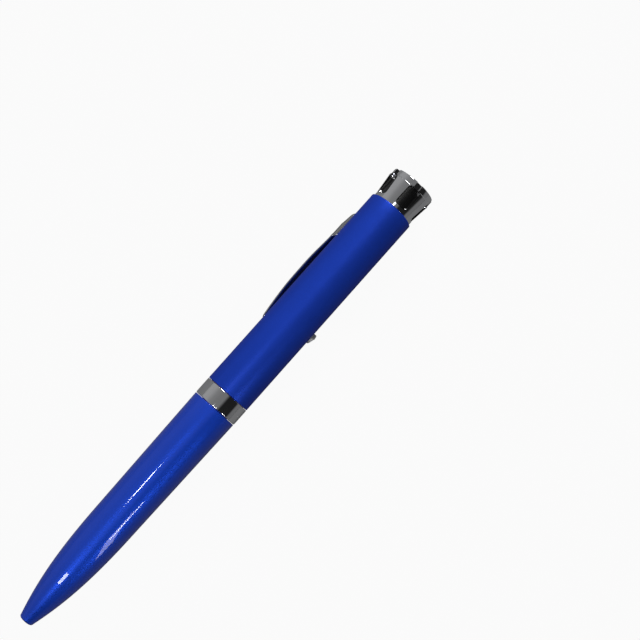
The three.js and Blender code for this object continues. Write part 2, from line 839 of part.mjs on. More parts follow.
function lensCell() {
  const bore = lensCellRadius - lensCellWall;
  const seatRadius = lensDiameter / 2 + pressGap;
  const body = turned([
    [lensCellStart, bore],
    [lensCellStart, lensCellRadius],
    [lensCellFlangeStart, lensCellRadius],
    [lensCellFlangeStart, guideRadius],
    [lensCellEnd, guideRadius],
    [lensCellEnd, seatRadius],
    [lensStart - seam, seatRadius],
    [lensStart - seam, bore],
  ]);
  const lugs = Array.from({ length: lugCount }, (_, number) => {
    const start = lensCellFlangeStart + lugSetback;
    const root = guideRadius - lensSeatWall / 2;
    const lug = block(start, start + lugLength, lugWidth, root, guideRadius + lugHeight);
    return facing(lug, lugAngle(number));
  });
  return join(body, ...lugs);
}

function lensRetainer() {
  const start = lensStart + lensThickness - lensCrown + seam;
  const radius = lensDiameter / 2;
  return turned([
    [start + lensRetainerSlope, radius - lensRetainerWidth],
    [start, radius],
    [start + lensRetainerThickness, radius],
    [start + lensRetainerThickness, radius - lensRetainerWidth],
  ]);
}

// Milled groove from the head's open end back to its plain band, with a floor that follows the bore
function flute(angle) {
  const half = fluteWidth / 2;
  const start = headStart + headBandLength;
  const end = headEnd + seam;
  const bend = fluteCornerRadius;
  const outline = new THREE.Shape();
  outline.moveTo(end, -half);
  outline.lineTo(end, half);
  outline.lineTo(start + bend, half);
  outline.absarc(start + bend, half - bend, bend, Math.PI / 2, Math.PI, false);
  outline.absarc(start + bend, bend - half, bend, Math.PI, 1.5 * Math.PI, false);
  outline.closePath();
  const bar = new THREE.ExtrudeGeometry(outline, {
    depth: barrelRadius,
    bevelEnabled: false,
    curveSegments: 3,
  });
  const root = disc(start - seam, end + seam, fluteFloor, outerSides);
  return cut(facing(bar.translate(0, 0, neckBoreRadius), angle), root);
}

// Fluted head: neck inside the barrel, flared ribs outside, keyways for the lens cell's lugs
function focusHead() {
  const grooveRadius = boreRadius - frictionRingWire - 2 * frictionRingGap;
  const grooveStart = neckStart + headNeckLength / 2 - frictionRingWire / 2 - seam;
  const grooveEnd = grooveStart + frictionRingWire + 2 * seam;
  const flare = headStart + headFlareStation;
  const baseRadius = barrelRadius - headBaseStep;
  const flareRadius = barrelRadius + headFlareRise;
  const endRadius = barrelRadius + headEndRise;
  const mouthRadius = neckBoreRadius - headLipRise;
  const body = turned([
    [neckStart, neckBoreRadius],
    [neckStart, neckRadius],
    [grooveStart, neckRadius],
    [grooveStart, grooveRadius],
    [grooveEnd, grooveRadius],
    [grooveEnd, neckRadius],
    [headStart, neckRadius],
    [headStart, baseRadius - edgeBreak],
    [headStart + edgeBreak, baseRadius],
    [headStart + headBandLength, baseRadius],
    [flare - headFlareLand, flareRadius],
    [flare, flareRadius],
    [headEnd - edgeBreak, endRadius],
    [headEnd, endRadius - edgeBreak],
    [headEnd, mouthRadius + headMouthFlare],
    [headLipStart, mouthRadius],
    [headLipStart, neckBoreRadius],
  ], outerSides);
  const flutes = Array.from({ length: fluteCount }, (_, number) => (
    flute(firstFluteAngle + (number * 2 * Math.PI) / fluteCount)
  ));
  const keyways = Array.from({ length: lugCount }, (_, number) => {
    const top = guideRadius + lugHeight + slipGap;
    const width = lugWidth + 2 * slipGap;
    const root = neckBoreRadius - headNeckWall;
    const key = block(lensCellFlangeStart - lugSetback, headLipStart, width, root, top);
    return facing(key, lugAngle(number));
  });
  return cut(body, ...flutes, ...keyways);
}

function frictionRing() {
  const radius = frictionRingWire / 2;
  const middle = neckStart + headNeckLength / 2;
  const ringRadius = boreRadius - frictionRingGap - radius;
  return turned(corner(middle, ringRadius, radius, 0, 300, 5));
}

// Height of the strip's outer face above the axis, from its tip to the foot
function clipHeight(station) {
  const crest = clipFront + clipCrestFromTip;
  const crestHeight = clipInnerHeight + clipCrestHeight;
  const ahead = station < crest;
  const endHeight = clipInnerHeight + (ahead ? clipTipHeight : clipFootHeight);
  const reach = ahead ? clipCrestFromTip : clipFootFront - crest;
  const share = Math.abs(station - crest) / reach;
  const fall = ahead ? share ** 2.4 : Math.sin((share * Math.PI) / 2) ** 2;
  return crestHeight - (crestHeight - endHeight) * fall;
}

// Clip seen from above: round tip, straight flanks, wider foot with rounded corners
function clipPlan() {
  const tipHalf = clipTipWidth / 2;
  const half = clipWidth / 2;
  const footHalf = clipFootWidth / 2;
  const bend = clipFootCornerRadius;
  const taperEnd = clipFront + tipHalf + clipTipTaper;
  const blendStart = clipFootFront - clipFootBlend / 2;
  const blendEnd = clipFootFront + clipFootBlend / 2;
  const plan = new THREE.Shape();
  plan.moveTo(clipFront + tipHalf, -tipHalf);
  plan.lineTo(taperEnd, -half);
  plan.lineTo(blendStart, -half);
  plan.lineTo(blendEnd, -footHalf);
  plan.absarc(clipRear - bend, bend - footHalf, bend, 1.5 * Math.PI, 2 * Math.PI, false);
  plan.absarc(clipRear - bend, footHalf - bend, bend, 0, 0.5 * Math.PI, false);
  plan.lineTo(blendEnd, footHalf);
  plan.lineTo(blendStart, half);
  plan.lineTo(taperEnd, half);
  plan.lineTo(clipFront + tipHalf, tipHalf);
  plan.absarc(clipFront + tipHalf, 0, tipHalf, 0.5 * Math.PI, 1.5 * Math.PI, false);
  return new THREE.ExtrudeGeometry(plan, {
    depth: 3 * barrelRadius,
    bevelEnabled: false,
    curveSegments: 5,
  });
}

// A side outline of the clip, drawn in station and height, as a bar trimmed to the clip's plan
function clipBar(outline) {
  const shape = new THREE.Shape(outline.map(([station, height]) => new THREE.Vector2(station, height)));
  const bar = new THREE.ExtrudeGeometry(shape, { depth: 2 * clipFootWidth, bevelEnabled: false });
  bar.translate(0, 0, -clipFootWidth).rotateX(Math.PI / 2);
  return common(bar, clipPlan());
}

function clipArm() {
  const end = clipFootFront - clipSplit / 2;
  const outer = Array.from({ length: clipSteps + 1 }, (_, i) => {
    const station = THREE.MathUtils.lerp(clipFront, end, i / clipSteps);
    return [station, clipHeight(station)];
  });
  const inner = outer.map(([station, height]) => [station, height - clipThickness]).reverse();
  return facing(clipBar([...inner, ...outer]), clipAngle);
}

function clipFoot() {
  const start = clipFootFront + clipSplit / 2;
  const top = clipInnerHeight + clipFootHeight;
  const low = boreRadius;
  const flatEnd = clipFootFront + clipFootFlat;
  const tailHeight = clipInnerHeight + clipFootTailHeight;
  const saddle = clipBar([
    [start, low],
    [clipRear, low],
    [clipRear, tailHeight],
    [clipRear - clipFootTailLength, tailHeight + clipFootTailRise],
    [flatEnd, top],
    [start, top],
  ]);
  const headFloor = top - rivetHeadThickness - slipGap;
  const rivetShank = post(rivetStation, rivetDiameter / 2 + pressGap, 0, 2 * barrelRadius);
  const rivetSeat = post(rivetStation, rivetHeadDiameter / 2 + pressGap, headFloor, 2 * barrelRadius);
  const barrelSpace = disc(clipFront, headEnd, clipInnerHeight, outerSides);
  return facing(cut(saddle, barrelSpace, rivetShank, rivetSeat), clipAngle);
}

function clipRivet() {
  const top = clipInnerHeight + clipFootHeight;
  const innerLow = boreRadius - rivetTailDepth;
  const shank = post(rivetStation, rivetDiameter / 2, innerLow, top);
  const head = post(rivetStation, rivetHeadDiameter / 2, top - rivetHeadThickness, top);
  const tail = post(rivetStation, rivetHeadDiameter / 2, innerLow, innerLow + rivetHeadThickness);
  return facing(join(shank, head, tail), clipAngle);
}

add('lower_barrel', lowerBarrel(), finishes.glossBlue);
add('refill_ball', refillBall(), finishes.carbide);
add('refill_tip', refillTip(), finishes.brass);
add('refill_tube', refillTube(), finishes.steel);
add('refill_plug', refillPlug(), finishes.whitePlastic);
add('refill_spring', coil(
  springSeatStation + springEndGap,
  springEnd,
  springRadius,
  springRadius,
  springWire,
  springCurls,
), finishes.steel);
add('twist_collar', twistCollar(), finishes.brass);
add('cam_sleeve', camSleeve(), finishes.brass);
add('plunger', plunger(), finishes.whitePlastic);
add('plunger_pin', plungerPin(), finishes.steel);
add('mechanism_housing', mechanismHousing(), finishes.brass);
add('snap_ring', snapRing(), finishes.steel);
add('centre_ring', centreRing(), finishes.chrome);
add('upper_barrel', upperBarrel(), finishes.satinBlue);

const switchGroup = new THREE.Group();
switchGroup.rotation.x = -buttonAngle;
pen.add(switchGroup);
add('board_carrier', boardCarrier(), finishes.blackPlastic, switchGroup);
add('switch_board', switchBoard(), finishes.boardGreen, switchGroup);
add('switch_housing', switchHousing(), finishes.blackPlastic, switchGroup);
add('switch_plunger', switchPlunger(), finishes.whitePlastic, switchGroup);
add('chip_resistor', chipResistor(), finishes.blackPlastic, switchGroup);
add('button_cap', buttonCap(), finishes.steel, switchGroup);

add('front_contact', contactDisc(frontContactStart), finishes.steel);
add('contact_spring', contactSpring(), finishes.steel);
add('battery_tube', batteryTube(), finishes.blackPlastic);
for (let cell = 0; cell < cellCount; cell += 1) {
  add(`button_cell_${cell + 1}`, buttonCell(cellStart + cell * cellPitch), finishes.steel);
}
add('rear_contact', contactDisc(rearContactStart), finishes.brass);
add('lamp_holder', lampHolder(), finishes.blackPlastic);
add('lamp', lamp(), finishes.clearLens);
add('condenser_lens', crownedLens(
  condenserStart,
  condenserThickness,
  condenserDiameter,
  condenserCrown,
), finishes.clearLens);
add('slide_holder', slideHolder(), finishes.blackPlastic);
add('picture_slide', disc(slideStart, slideStart + slideThickness, slideDiameter / 2), finishes.film);
add('slide_retainer', slideRetainer(), finishes.blackPlastic);
add('focus_guide', focusGuide(), finishes.blackPlastic);
add('lens_cell', lensCell(), finishes.blackPlastic);
add('projection_lens', crownedLens(lensStart, lensThickness, lensDiameter, lensCrown), finishes.clearLens);
add('lens_retainer', lensRetainer(), finishes.blackPlastic);
add('focus_head', focusHead(), finishes.chrome);
add('friction_ring', frictionRing(), finishes.rubber);
add('clip_arm', clipArm(), finishes.steel);
add('clip_foot', clipFoot(), finishes.steel);
add('clip_rivet', clipRivet(), finishes.steel);

// The origin is the middle of the pen's footprint, on the surface that it lies on
const box = new THREE.Box3().setFromObject(pen, true);
const middle = box.getCenter(new THREE.Vector3());
pen.position.set(-middle.x, -middle.y, -box.min.z);

export default pen;
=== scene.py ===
"""Light-up ballpoint pen: smooth outer pieces, real finishes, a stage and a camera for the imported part."""

import json
import math

import bpy
from mathutils import Matrix, Vector


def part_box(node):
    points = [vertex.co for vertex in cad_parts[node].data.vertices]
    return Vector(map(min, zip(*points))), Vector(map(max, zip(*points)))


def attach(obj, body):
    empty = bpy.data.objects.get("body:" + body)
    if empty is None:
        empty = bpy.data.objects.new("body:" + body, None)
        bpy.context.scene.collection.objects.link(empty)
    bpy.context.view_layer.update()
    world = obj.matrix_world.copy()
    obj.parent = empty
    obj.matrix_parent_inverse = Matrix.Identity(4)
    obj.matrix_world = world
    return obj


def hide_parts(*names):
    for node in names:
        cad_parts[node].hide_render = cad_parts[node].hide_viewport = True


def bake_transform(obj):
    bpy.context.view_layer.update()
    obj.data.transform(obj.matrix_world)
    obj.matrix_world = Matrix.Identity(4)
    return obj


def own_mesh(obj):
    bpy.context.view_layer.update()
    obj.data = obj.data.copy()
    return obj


bl_info = {
    "name": "Light-up pen",
    "version": (1, 0, 0),
    "blender": (4, 5, 0),
    "location": "View3D > Sidebar > Pen",
    "description": "Dresses the packed light-up pen with smooth pieces and procedural finishes",
    "category": "Object",
}

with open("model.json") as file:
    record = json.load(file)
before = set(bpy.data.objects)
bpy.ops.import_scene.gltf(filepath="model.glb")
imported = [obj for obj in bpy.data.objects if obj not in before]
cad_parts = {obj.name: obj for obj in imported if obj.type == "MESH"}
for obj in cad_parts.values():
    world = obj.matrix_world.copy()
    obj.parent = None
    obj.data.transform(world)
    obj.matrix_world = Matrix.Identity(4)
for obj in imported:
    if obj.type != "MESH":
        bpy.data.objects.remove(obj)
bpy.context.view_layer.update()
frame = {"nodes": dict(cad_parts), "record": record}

# The pen's axis and the nose's end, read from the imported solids
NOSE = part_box("lower_barrel")[0].x
BARREL_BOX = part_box("upper_barrel")
AXIS_Y = (BARREL_BOX[0].y + BARREL_BOX[1].y) / 2
AXIS_Z = (BARREL_BOX[0].z + BARREL_BOX[1].z) / 2

FLUTES = 5
FINISH = {}  # each finish by its material slot, filled by the first operator


def station(node, end):
    """Distance of a node's front (0) or rear (1) from the nose's end, in millimetres."""
    return (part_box(node)[end].x - NOSE) * 1000


def linear(hex_colour):
    """Linear RGBA of an sRGB hex colour."""
    channels = [int(hex_colour[i:i + 2], 16) / 255 for i in (1, 3, 5)]
    return [c / 12.92 if c <= 0.04045 else ((c + 0.055) / 1.055) ** 2.4 for c in channels] + [1.0]


def length(name, text, millimetres):
    """A length that the user can change, kept in metres."""
    return bpy.props.FloatProperty(
        name=name, description=text, default=millimetres / 1000, min=0, unit="LENGTH", precision=5
    )


def angle(name, text, degrees):
    """An angle that the user can change."""
    return bpy.props.FloatProperty(
        name=name, description=text, default=math.radians(degrees), subtype="ANGLE"
    )


def colour(name, text, hex_colour):
    """A colour that the user can change."""
    return bpy.props.FloatVectorProperty(
        name=name, description=text, default=linear(hex_colour), size=4, min=0, max=1, subtype="COLOR"
    )


class PenSizes(bpy.types.PropertyGroup):
    """Sizes of the pieces that show."""

    barrel_radius: length("Barrel radius", "Outer radius of the upper barrel", 6.0)
    barrel_wall: length("Barrel wall", "Thickness of the upper barrel's tube", 0.6)
    lower_rear_radius: length("Lower barrel radius", "Radius where the lower barrel meets the ring", 5.97)
    ring_roll: length("Ring rolling", "Rounding of the centre ring's nose side", 0.3)
    flare_radius: length("Head flare", "Largest radius of the fluted head", 6.19)
    head_base_radius: length("Head base", "Radius of the head beside the barrel", 5.575)
    head_end_radius: length("Head end", "Radius of the head's front edge", 6.0)
    flute_width: length("Flute width", "Width of each flute in the head", 3.7)
    flute_mouth: length("Flute mouth", "Width of each flute where it opens at the front", 2.8)
    flute_floor: length("Flute floor", "Radius of the flutes' floor", 5.1)
    flute_turn: angle("Flute turn", "Place of the first flute round the axis", -10.5)
    clip_turn: angle("Clip turn", "Place of the clip round the axis", 125)
    clip_crest: length("Clip crest", "Height of the clip's bow above the axis", 8.02)
    clip_thickness: length("Clip thickness", "Thickness of the clip's strip", 0.7)
    clip_width: length("Clip width", "Width of the clip's strip", 3.5)
    foot_width: length("Foot width", "Width of the clip's foot", 3.9)
    button_turn: angle("Button turn", "Place of the push button round the axis", -103)
    button_radius: length("Button radius", "Radius of the push button", 1.45)
    button_top: length("Button top", "Height of the button's top above the axis", 6.82)
    button_slant: angle("Button slant", "Slope of the button's top towards the nose", 11)


class PenColours(bpy.types.PropertyGroup):
    """Colours of the finishes."""

    gloss_blue: colour("Gloss blue", "Lacquer of the lower barrel", "#1A41BA")
    satin_blue: colour("Satin blue", "Lacquer of the upper barrel", "#1D3EB0")
    chrome: colour("Chrome", "Plating of the ring and the head", "#DCDDE0")
    clip: colour("Clip steel", "Plated strip of the clip", "#A9AAAD")
    button: colour("Button", "Metal of the push button", "#C4C5C8")
    floor: colour("Floor", "Floor and backdrop", "#FCFCFC")


def start_clean():
    """Leaves edit mode and deselects everything."""
    if bpy.context.mode != "OBJECT":
        bpy.ops.object.mode_set(mode="OBJECT")
    bpy.ops.object.select_all(action="DESELECT")


def pick(piece):
    """Selects one piece alone and makes it the active one."""
    start_clean()
    piece.select_set(True)
    bpy.context.view_layer.objects.active = piece


def single_vertex(name, x, z):
    """A new object in edit mode whose mesh is one vertex at station x, height z (millimetres)."""
    start_clean()
    bpy.ops.mesh.primitive_plane_add(size=0.001, location=(0, 0, 0))
    piece = bpy.context.active_object
    piece.name = name
    bpy.ops.object.mode_set(mode="EDIT")
    bpy.ops.mesh.merge(type="CENTER")
    bpy.ops.transform.translate(value=(x / 1000, 0, z / 1000))
    return piece


def tidy_shell():
    """Merges doubles and turns every face outwards, in edit mode."""
    bpy.ops.mesh.select_all(action="SELECT")
    bpy.ops.mesh.remove_doubles(threshold=1e-6)
    bpy.ops.mesh.normals_make_consistent(inside=False)


def turned(name, outline, steps=96):
    """A turned piece: its outline of (station, radius) in millimetres is drawn and spun about the axis."""
    piece = single_vertex(name, *outline[0])
    for (x0, r0), (x1, r1) in zip(outline, outline[1:]):
        move = ((x1 - x0) / 1000, 0, (r1 - r0) / 1000)
        bpy.ops.mesh.extrude_vertices_move(TRANSFORM_OT_translate={"value": move})
    bpy.ops.mesh.select_all(action="SELECT")
    bpy.ops.mesh.spin(steps=steps, angle=2 * math.pi, center=(0, 0, 0), axis=(1, 0, 0))
    tidy_shell()
    bpy.ops.object.mode_set(mode="OBJECT")
    return piece


def closed(outline):
    """An outline that returns to its first point."""
    return outline + outline[:1]


def arc(x, r, bend, start, end, steps=8):
    """Points of a rounding of radius bend about (x, r), from start to end degrees."""
    turns = [math.radians(start + (end - start) * i / steps) for i in range(steps + 1)]
    return [(x + bend * math.cos(t), r + bend * math.sin(t)) for t in turns]


def curve(p0, p1, p2, p3, steps):
    """Points of a cubic curve, without its first."""
    points = []
    for i in range(1, steps + 1):
        t = i / steps
        u = 1 - t
        share = (u ** 3, 3 * u * u * t, 3 * u * t * t, t ** 3)
        points.append(tuple(sum(s * p[k] for s, p in zip(share, (p0, p1, p2, p3))) for k in (0, 1)))
    return points


def apply_modifier(piece, kind, **settings):
    """Adds a modifier and applies it."""
    pick(piece)
    modifier = piece.modifiers.new(kind.title(), kind)
    for key, value in settings.items():
        setattr(modifier, key, value)
    bpy.ops.object.modifier_apply(modifier=modifier.name)


def rounded(piece, width, segments):
    """Rounds the sharp edges of a piece by width millimetres."""
    sharp = math.radians(30)
    apply_modifier(
        piece, "BEVEL", width=width / 1000, segments=segments, limit_method="ANGLE", angle_limit=sharp,
        harden_normals=False,
    )


def cut_with(piece, cutter):
    """Takes the cutter's shape out of the piece and removes the cutter."""
    apply_modifier(piece, "BOOLEAN", operation="DIFFERENCE", solver="EXACT", object=cutter)
    bpy.data.objects.remove(cutter)


def turn_to(piece, turn):
    """Turns a piece that was made over the axis to its place round it."""
    pick(piece)
    piece.rotation_euler.x = -turn
    bpy.ops.object.transform_apply(location=True, rotation=True, scale=True)


def set_in_pen(piece, body, nodes, slot, sharp=30):
    """Moves a finished piece from the axis to its place in the pen, and gives it body, slot and finish."""
    pick(piece)
    piece.location = (NOSE, AXIS_Y, AXIS_Z)
    bpy.ops.object.transform_apply(location=True, rotation=True, scale=True)
    bpy.ops.object.shade_smooth_by_angle(angle=math.radians(sharp))
    piece.data.materials.clear()
    piece.data.materials.append(FINISH[slot])
    if body:
        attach(piece, body)
    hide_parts(*nodes)


def strip(name, sections):
    """A bar over the axis, extruded through (station, middle height, width, thickness) in millimetres."""
    start_clean()
    bpy.ops.mesh.primitive_plane_add(size=1, rotation=(0, math.pi / 2, 0))
    bpy.ops.object.transform_apply(location=True, rotation=True, scale=True)
    piece = bpy.context.active_object
    piece.name = name
    x0, h0, w0, t0 = (size / 1000 for size in sections[0])
    bpy.ops.object.mode_set(mode="EDIT")
    bpy.ops.transform.resize(value=(1, w0, t0), center_override=(0, 0, 0))
    bpy.ops.mesh.bevel(offset=0.32 * t0, segments=3, affect="VERTICES")
    bpy.ops.transform.translate(value=(x0, 0, h0))
    for section in sections[1:]:
        x1, h1, w1, t1 = (size / 1000 for size in section)
        move = (x1 - x0, 0, h1 - h0)
        bpy.ops.mesh.extrude_region_move(TRANSFORM_OT_translate={"value": move})
        bpy.ops.transform.resize(value=(1, w1 / w0, t1 / t0), center_override=(x1, 0, h1))
        x0, h0, w0, t0 = x1, h1, w1, t1
    tidy_shell()
    bpy.ops.object.mode_set(mode="OBJECT")
    return piece


def add(tree, kind, inputs=None, **settings):
    """Adds one shader node with its settings, values and links."""
    made = tree.nodes.new("ShaderNode" + kind)
    for key, value in settings.items():
        setattr(made, key, value)
    for socket, value in (inputs or {}).items():
        if isinstance(value, bpy.types.NodeSocket):
            tree.links.new(value, made.inputs[socket])
        else:
            made.inputs[socket].default_value = value
    return made


def new_material(name):
    """A material with an empty tree, and the piece's own coordinates in millimetres for its patterns."""
    made = bpy.data.materials.new(name)
    made.use_nodes = True
    tree = made.node_tree
    tree.nodes.clear()
    place = add(tree, "TexCoord")
    scaled = add(tree, "Mapping", {"Vector": place.outputs["Object"], "Scale": (1000, 1000, 1000)})
    return made, tree, scaled.outputs["Vector"]


def scaled_colour(tint, factor):
    """A darker or lighter tint of a colour."""
    return [min(1.0, channel * factor) for channel in tint[:3]] + [1.0]


def gloss_lacquer(base):
    """Clear-coated metallic blue lacquer, sprayed and baked on a polished tube."""
    # A deep colour under a hard glassy coat, with the faint waviness that spraying leaves (about 2.5 mm)
    made, tree, place = new_material("Baked gloss blue lacquer")
    # The flakes are finer than this 0.2 mm, drawn coarse enough to show
    flakes = add(tree, "TexNoise", {"Vector": place, "Scale": 1 / 0.2})
    tint = add(
        tree, "Mix",
        {"Factor": flakes.outputs["Fac"], "A": scaled_colour(base, 0.86), "B": scaled_colour(base, 1.12)},
        data_type="RGBA",
    )
    clouds = add(tree, "TexNoise", {"Vector": place, "Scale": 1 / 6.0})
    rough = add(tree, "MapRange", {"Value": clouds.outputs["Fac"], "To Min": 0.35, "To Max": 0.43})
    drawn = add(tree, "Mapping", {"Vector": place, "Scale": (1 / 6, 1, 1)})
    waves = add(tree, "TexNoise", {"Vector": drawn.outputs["Vector"], "Scale": 1 / 2.5, "Detail": 0.0})
    coat = add(tree, "Bump", {"Height": waves.outputs["Fac"], "Distance": 0.7e-6, "Strength": 1.0})
    shader = add(tree, "BsdfPrincipled", {
        "Base Color": tint.outputs[2], "Metallic": 0.45, "Roughness": rough.outputs["Result"],
        "Specular Tint": base, "Coat Weight": 0.85, "Coat Roughness": 0.03, "Coat IOR": 1.4,
        "Coat Normal": coat.outputs["Normal"],
    })
    add(tree, "OutputMaterial", {"Surface": shader.outputs[0]})
    return made


def satin_lacquer(base):
    """Satin metallic blue lacquer on a drawn metal tube."""
    # A soft sheen along the tube, and fine metal flakes that make it a little uneven
    made, tree, place = new_material("Satin metallic blue lacquer")
    flakes = add(tree, "TexNoise", {"Vector": place, "Scale": 1 / 0.18})
    tint = add(
        tree, "Mix",
        {"Factor": flakes.outputs["Fac"], "A": scaled_colour(base, 0.84), "B": scaled_colour(base, 1.14)},
        data_type="RGBA",
    )
    clouds = add(tree, "TexNoise", {"Vector": place, "Scale": 1 / 5.0})
    rough = add(tree, "MapRange", {"Value": clouds.outputs["Fac"], "To Min": 0.36, "To Max": 0.46})
    pores = add(tree, "TexNoise", {"Vector": place, "Scale": 1 / 0.15})
    skin = add(tree, "Bump", {"Height": pores.outputs["Fac"], "Distance": 3e-6, "Strength": 0.6})
    shader = add(tree, "BsdfPrincipled", {
        "Base Color": tint.outputs[2], "Metallic": 0.5, "Roughness": rough.outputs["Result"],
        "Specular Tint": base, "Coat Weight": 0.1, "Coat Roughness": 0.3, "Coat IOR": 1.4,
        "Normal": skin.outputs["Normal"],
    })
    add(tree, "OutputMaterial", {"Surface": shader.outputs[0]})
    return made


def bright_plate(name, base, roughness, haze_mm, draw=(1, 1, 1), wear=0.0):
    """Polished and plated metal."""
    # Mirror bright, with the hazy patches that polishing and fingers leave, and faint turning marks
    made, tree, place = new_material(name)
    haze = add(tree, "TexNoise", {"Vector": place, "Scale": 1 / haze_mm})
    rough = add(
        tree, "MapRange",
        {"Value": haze.outputs["Fac"], "To Min": roughness * 0.7, "To Max": roughness * 1.5},
    )
    dull = scaled_colour(base, 0.94 - wear)
    tint = add(
        tree, "Mix", {"Factor": haze.outputs["Fac"], "A": dull, "B": scaled_colour(base, 1.04)},
        data_type="RGBA",
    )
    drawn = add(tree, "Mapping", {"Vector": place, "Scale": tuple(1 / share for share in draw)})
    marks = add(tree, "TexNoise", {"Vector": drawn.outputs["Vector"], "Scale": 1 / 0.12})
    skin = add(tree, "Bump", {"Height": marks.outputs["Fac"], "Distance": 0.3e-6, "Strength": 0.5})
    shader = add(tree, "BsdfPrincipled", {
        "Base Color": tint.outputs[2], "Metallic": 1.0, "Roughness": rough.outputs["Result"],
        "Normal": skin.outputs["Normal"],
    })
    add(tree, "OutputMaterial", {"Surface": shader.outputs[0]})
    return made


def moulded_plastic(name, base, roughness, grain_mm):
    """Injection-moulded plastic."""
    # An even colour with a fine spark-eroded grain that breaks up its highlights
    made, tree, place = new_material(name)
    grain = add(tree, "TexNoise", {"Vector": place, "Scale": 1 / grain_mm})
    rough = add(
        tree, "MapRange",
        {"Value": grain.outputs["Fac"], "To Min": roughness * 0.8, "To Max": min(1.0, roughness * 1.25)},
    )
    flow = add(tree, "TexNoise", {"Vector": place, "Scale": 1 / 3.0})
    tint = add(
        tree, "Mix",
        {"Factor": flow.outputs["Fac"], "A": scaled_colour(base, 0.93), "B": scaled_colour(base, 1.05)},
        data_type="RGBA",
    )
    skin = add(tree, "Bump", {"Height": grain.outputs["Fac"], "Distance": 10e-6, "Strength": 0.6})
    shader = add(tree, "BsdfPrincipled", {
        "Base Color": tint.outputs[2], "Metallic": 0.0, "Roughness": rough.outputs["Result"],
        "IOR": 1.5, "Normal": skin.outputs["Normal"],
    })
    add(tree, "OutputMaterial", {"Surface": shader.outputs[0]})
    return made


def solder_mask():
    """Glass-fibre circuit board under green solder mask."""
    # Glossy green with copper runs that show through it a little lighter (about 0.3 mm apart)
    made, tree, place = new_material("Green solder mask on glass-fibre board")
    runs = add(
        tree, "TexBrick", {"Vector": place, "Scale": 0.9, "Mortar Size": 0.06, "Mortar Smooth": 0.1}
    )
    tint = add(
        tree, "Mix",
        {"Factor": runs.outputs["Fac"], "A": linear("#17492B"), "B": linear("#3B8A55")},
        data_type="RGBA",
    )
    skin = add(tree, "Bump", {"Height": runs.outputs["Fac"], "Distance": 20e-6, "Strength": 0.5})
    shader = add(tree, "BsdfPrincipled", {
        "Base Color": tint.outputs[2], "Roughness": 0.35, "Normal": skin.outputs["Normal"],
    })
    add(tree, "OutputMaterial", {"Surface": shader.outputs[0]})
    return made


def clear_resin(name, tint, roughness, index):
    """Clear moulded resin for the lamp and the lenses."""
    # Water clear with polished faces, and a trace of haze from handling
    made, tree, place = new_material(name)
    haze = add(tree, "TexNoise", {"Vector": place, "Scale": 1 / 2.0})
    rough = add(
        tree, "MapRange", {"Value": haze.outputs["Fac"], "To Min": roughness, "To Max": roughness + 0.04}
    )
    shader = add(tree, "BsdfPrincipled", {
        "Base Color": tint, "Roughness": rough.outputs["Result"], "IOR": index, "Transmission Weight": 0.95,
    })
    add(tree, "OutputMaterial", {"Surface": shader.outputs[0]})
    return made


def film():
    """Photographic film in its mount, its window left clear."""
    # Dark emulsion round a pale window, 6.2 mm across; the window has no picture
    made, tree, place = new_material("Slide film")
    window = 3.1
    blur = 0.2
    centred = add(tree, "Mapping", {
        "Vector": place, "Location": (0, -AXIS_Y * 1000, -AXIS_Z * 1000), "Scale": (0, 1, 1),
    })
    reach = add(tree, "VectorMath", {0: centred.outputs["Vector"]}, operation="LENGTH")
    edge = add(
        tree, "MapRange", {"Value": reach.outputs["Value"], "From Min": window, "From Max": window + blur}
    )
    tint = add(
        tree, "Mix",
        {"Factor": edge.outputs["Result"], "A": linear("#D9CFA8"), "B": linear("#15120D")},
        data_type="RGBA",
    )
    grain = add(tree, "TexNoise", {"Vector": place, "Scale": 1 / 0.4})
    rough = add(tree, "MapRange", {"Value": grain.outputs["Fac"], "To Min": 0.15, "To Max": 0.3})
    shader = add(tree, "BsdfPrincipled", {
        "Base Color": tint.outputs[2], "Roughness": rough.outputs["Result"], "IOR": 1.49,
    })
    add(tree, "OutputMaterial", {"Surface": shader.outputs[0]})
    return made


def finishes(colours):
    """Every finish of the pen, by the record's material slot."""
    around = (1, 6, 6)  # drawn out round the axis, as turning marks are
    along = (12, 1, 1)  # drawn out along the axis, as brushing marks are
    return {
        "gloss_blue_lacquer": gloss_lacquer(colours.gloss_blue),
        "satin_blue_lacquer": satin_lacquer(colours.satin_blue),
        "chrome": bright_plate("Chrome plate on brass", colours.chrome, 0.07, 3.0, around),
        "clip_steel": bright_plate("Bright plated spring steel strip", colours.clip, 0.16, 4.0, along),
        "button_metal": bright_plate("Satin plated zinc button", colours.button, 0.55, 0.6, wear=0.05),
        "plated_steel": bright_plate("Nickel-plated steel", linear("#B4B2AC"), 0.2, 2.0, along),
        "spring_steel": bright_plate("Drawn spring wire", linear("#8F9093"), 0.28, 0.8, around),
        "cell_steel": bright_plate("Pressed cell can steel", linear("#C2C3C5"), 0.22, 1.5, wear=0.04),
        "nickel_silver": bright_plate("Turned nickel silver", linear("#C3BFB0"), 0.16, 1.0, around),
        "brass": bright_plate("Turned brass", linear("#C29A4B"), 0.24, 1.2, around, wear=0.06),
        "carbide": bright_plate("Ground tungsten carbide", linear("#6A6C70"), 0.2, 0.1),
        "black_plastic": moulded_plastic("Black moulded ABS", linear("#1B1C1E"), 0.45, 0.25),
        "white_plastic": moulded_plastic("White moulded acetal", linear("#E2E2DD"), 0.4, 0.3),
        "circuit_board": solder_mask(),
        "lamp_epoxy": clear_resin("Cast clear epoxy", linear("#EEF4F8"), 0.05, 1.54),
        "clear_lens": clear_resin("Moulded acrylic lens", linear("#F4F8FA"), 0.01, 1.49),
        "slide_film": film(),
        # Painted shade: a near-black finish for the flutes' floors and walls, so that they look as dark as
        # deep, shaded slots
        "flute_painted_shade": moulded_plastic("Near-black painted shade in the flutes", linear("#0B0B0C"), 0.25, 0.3),
        "rubber": moulded_plastic("Moulded nitrile rubber", linear("#232323"), 0.75, 0.15),
    }


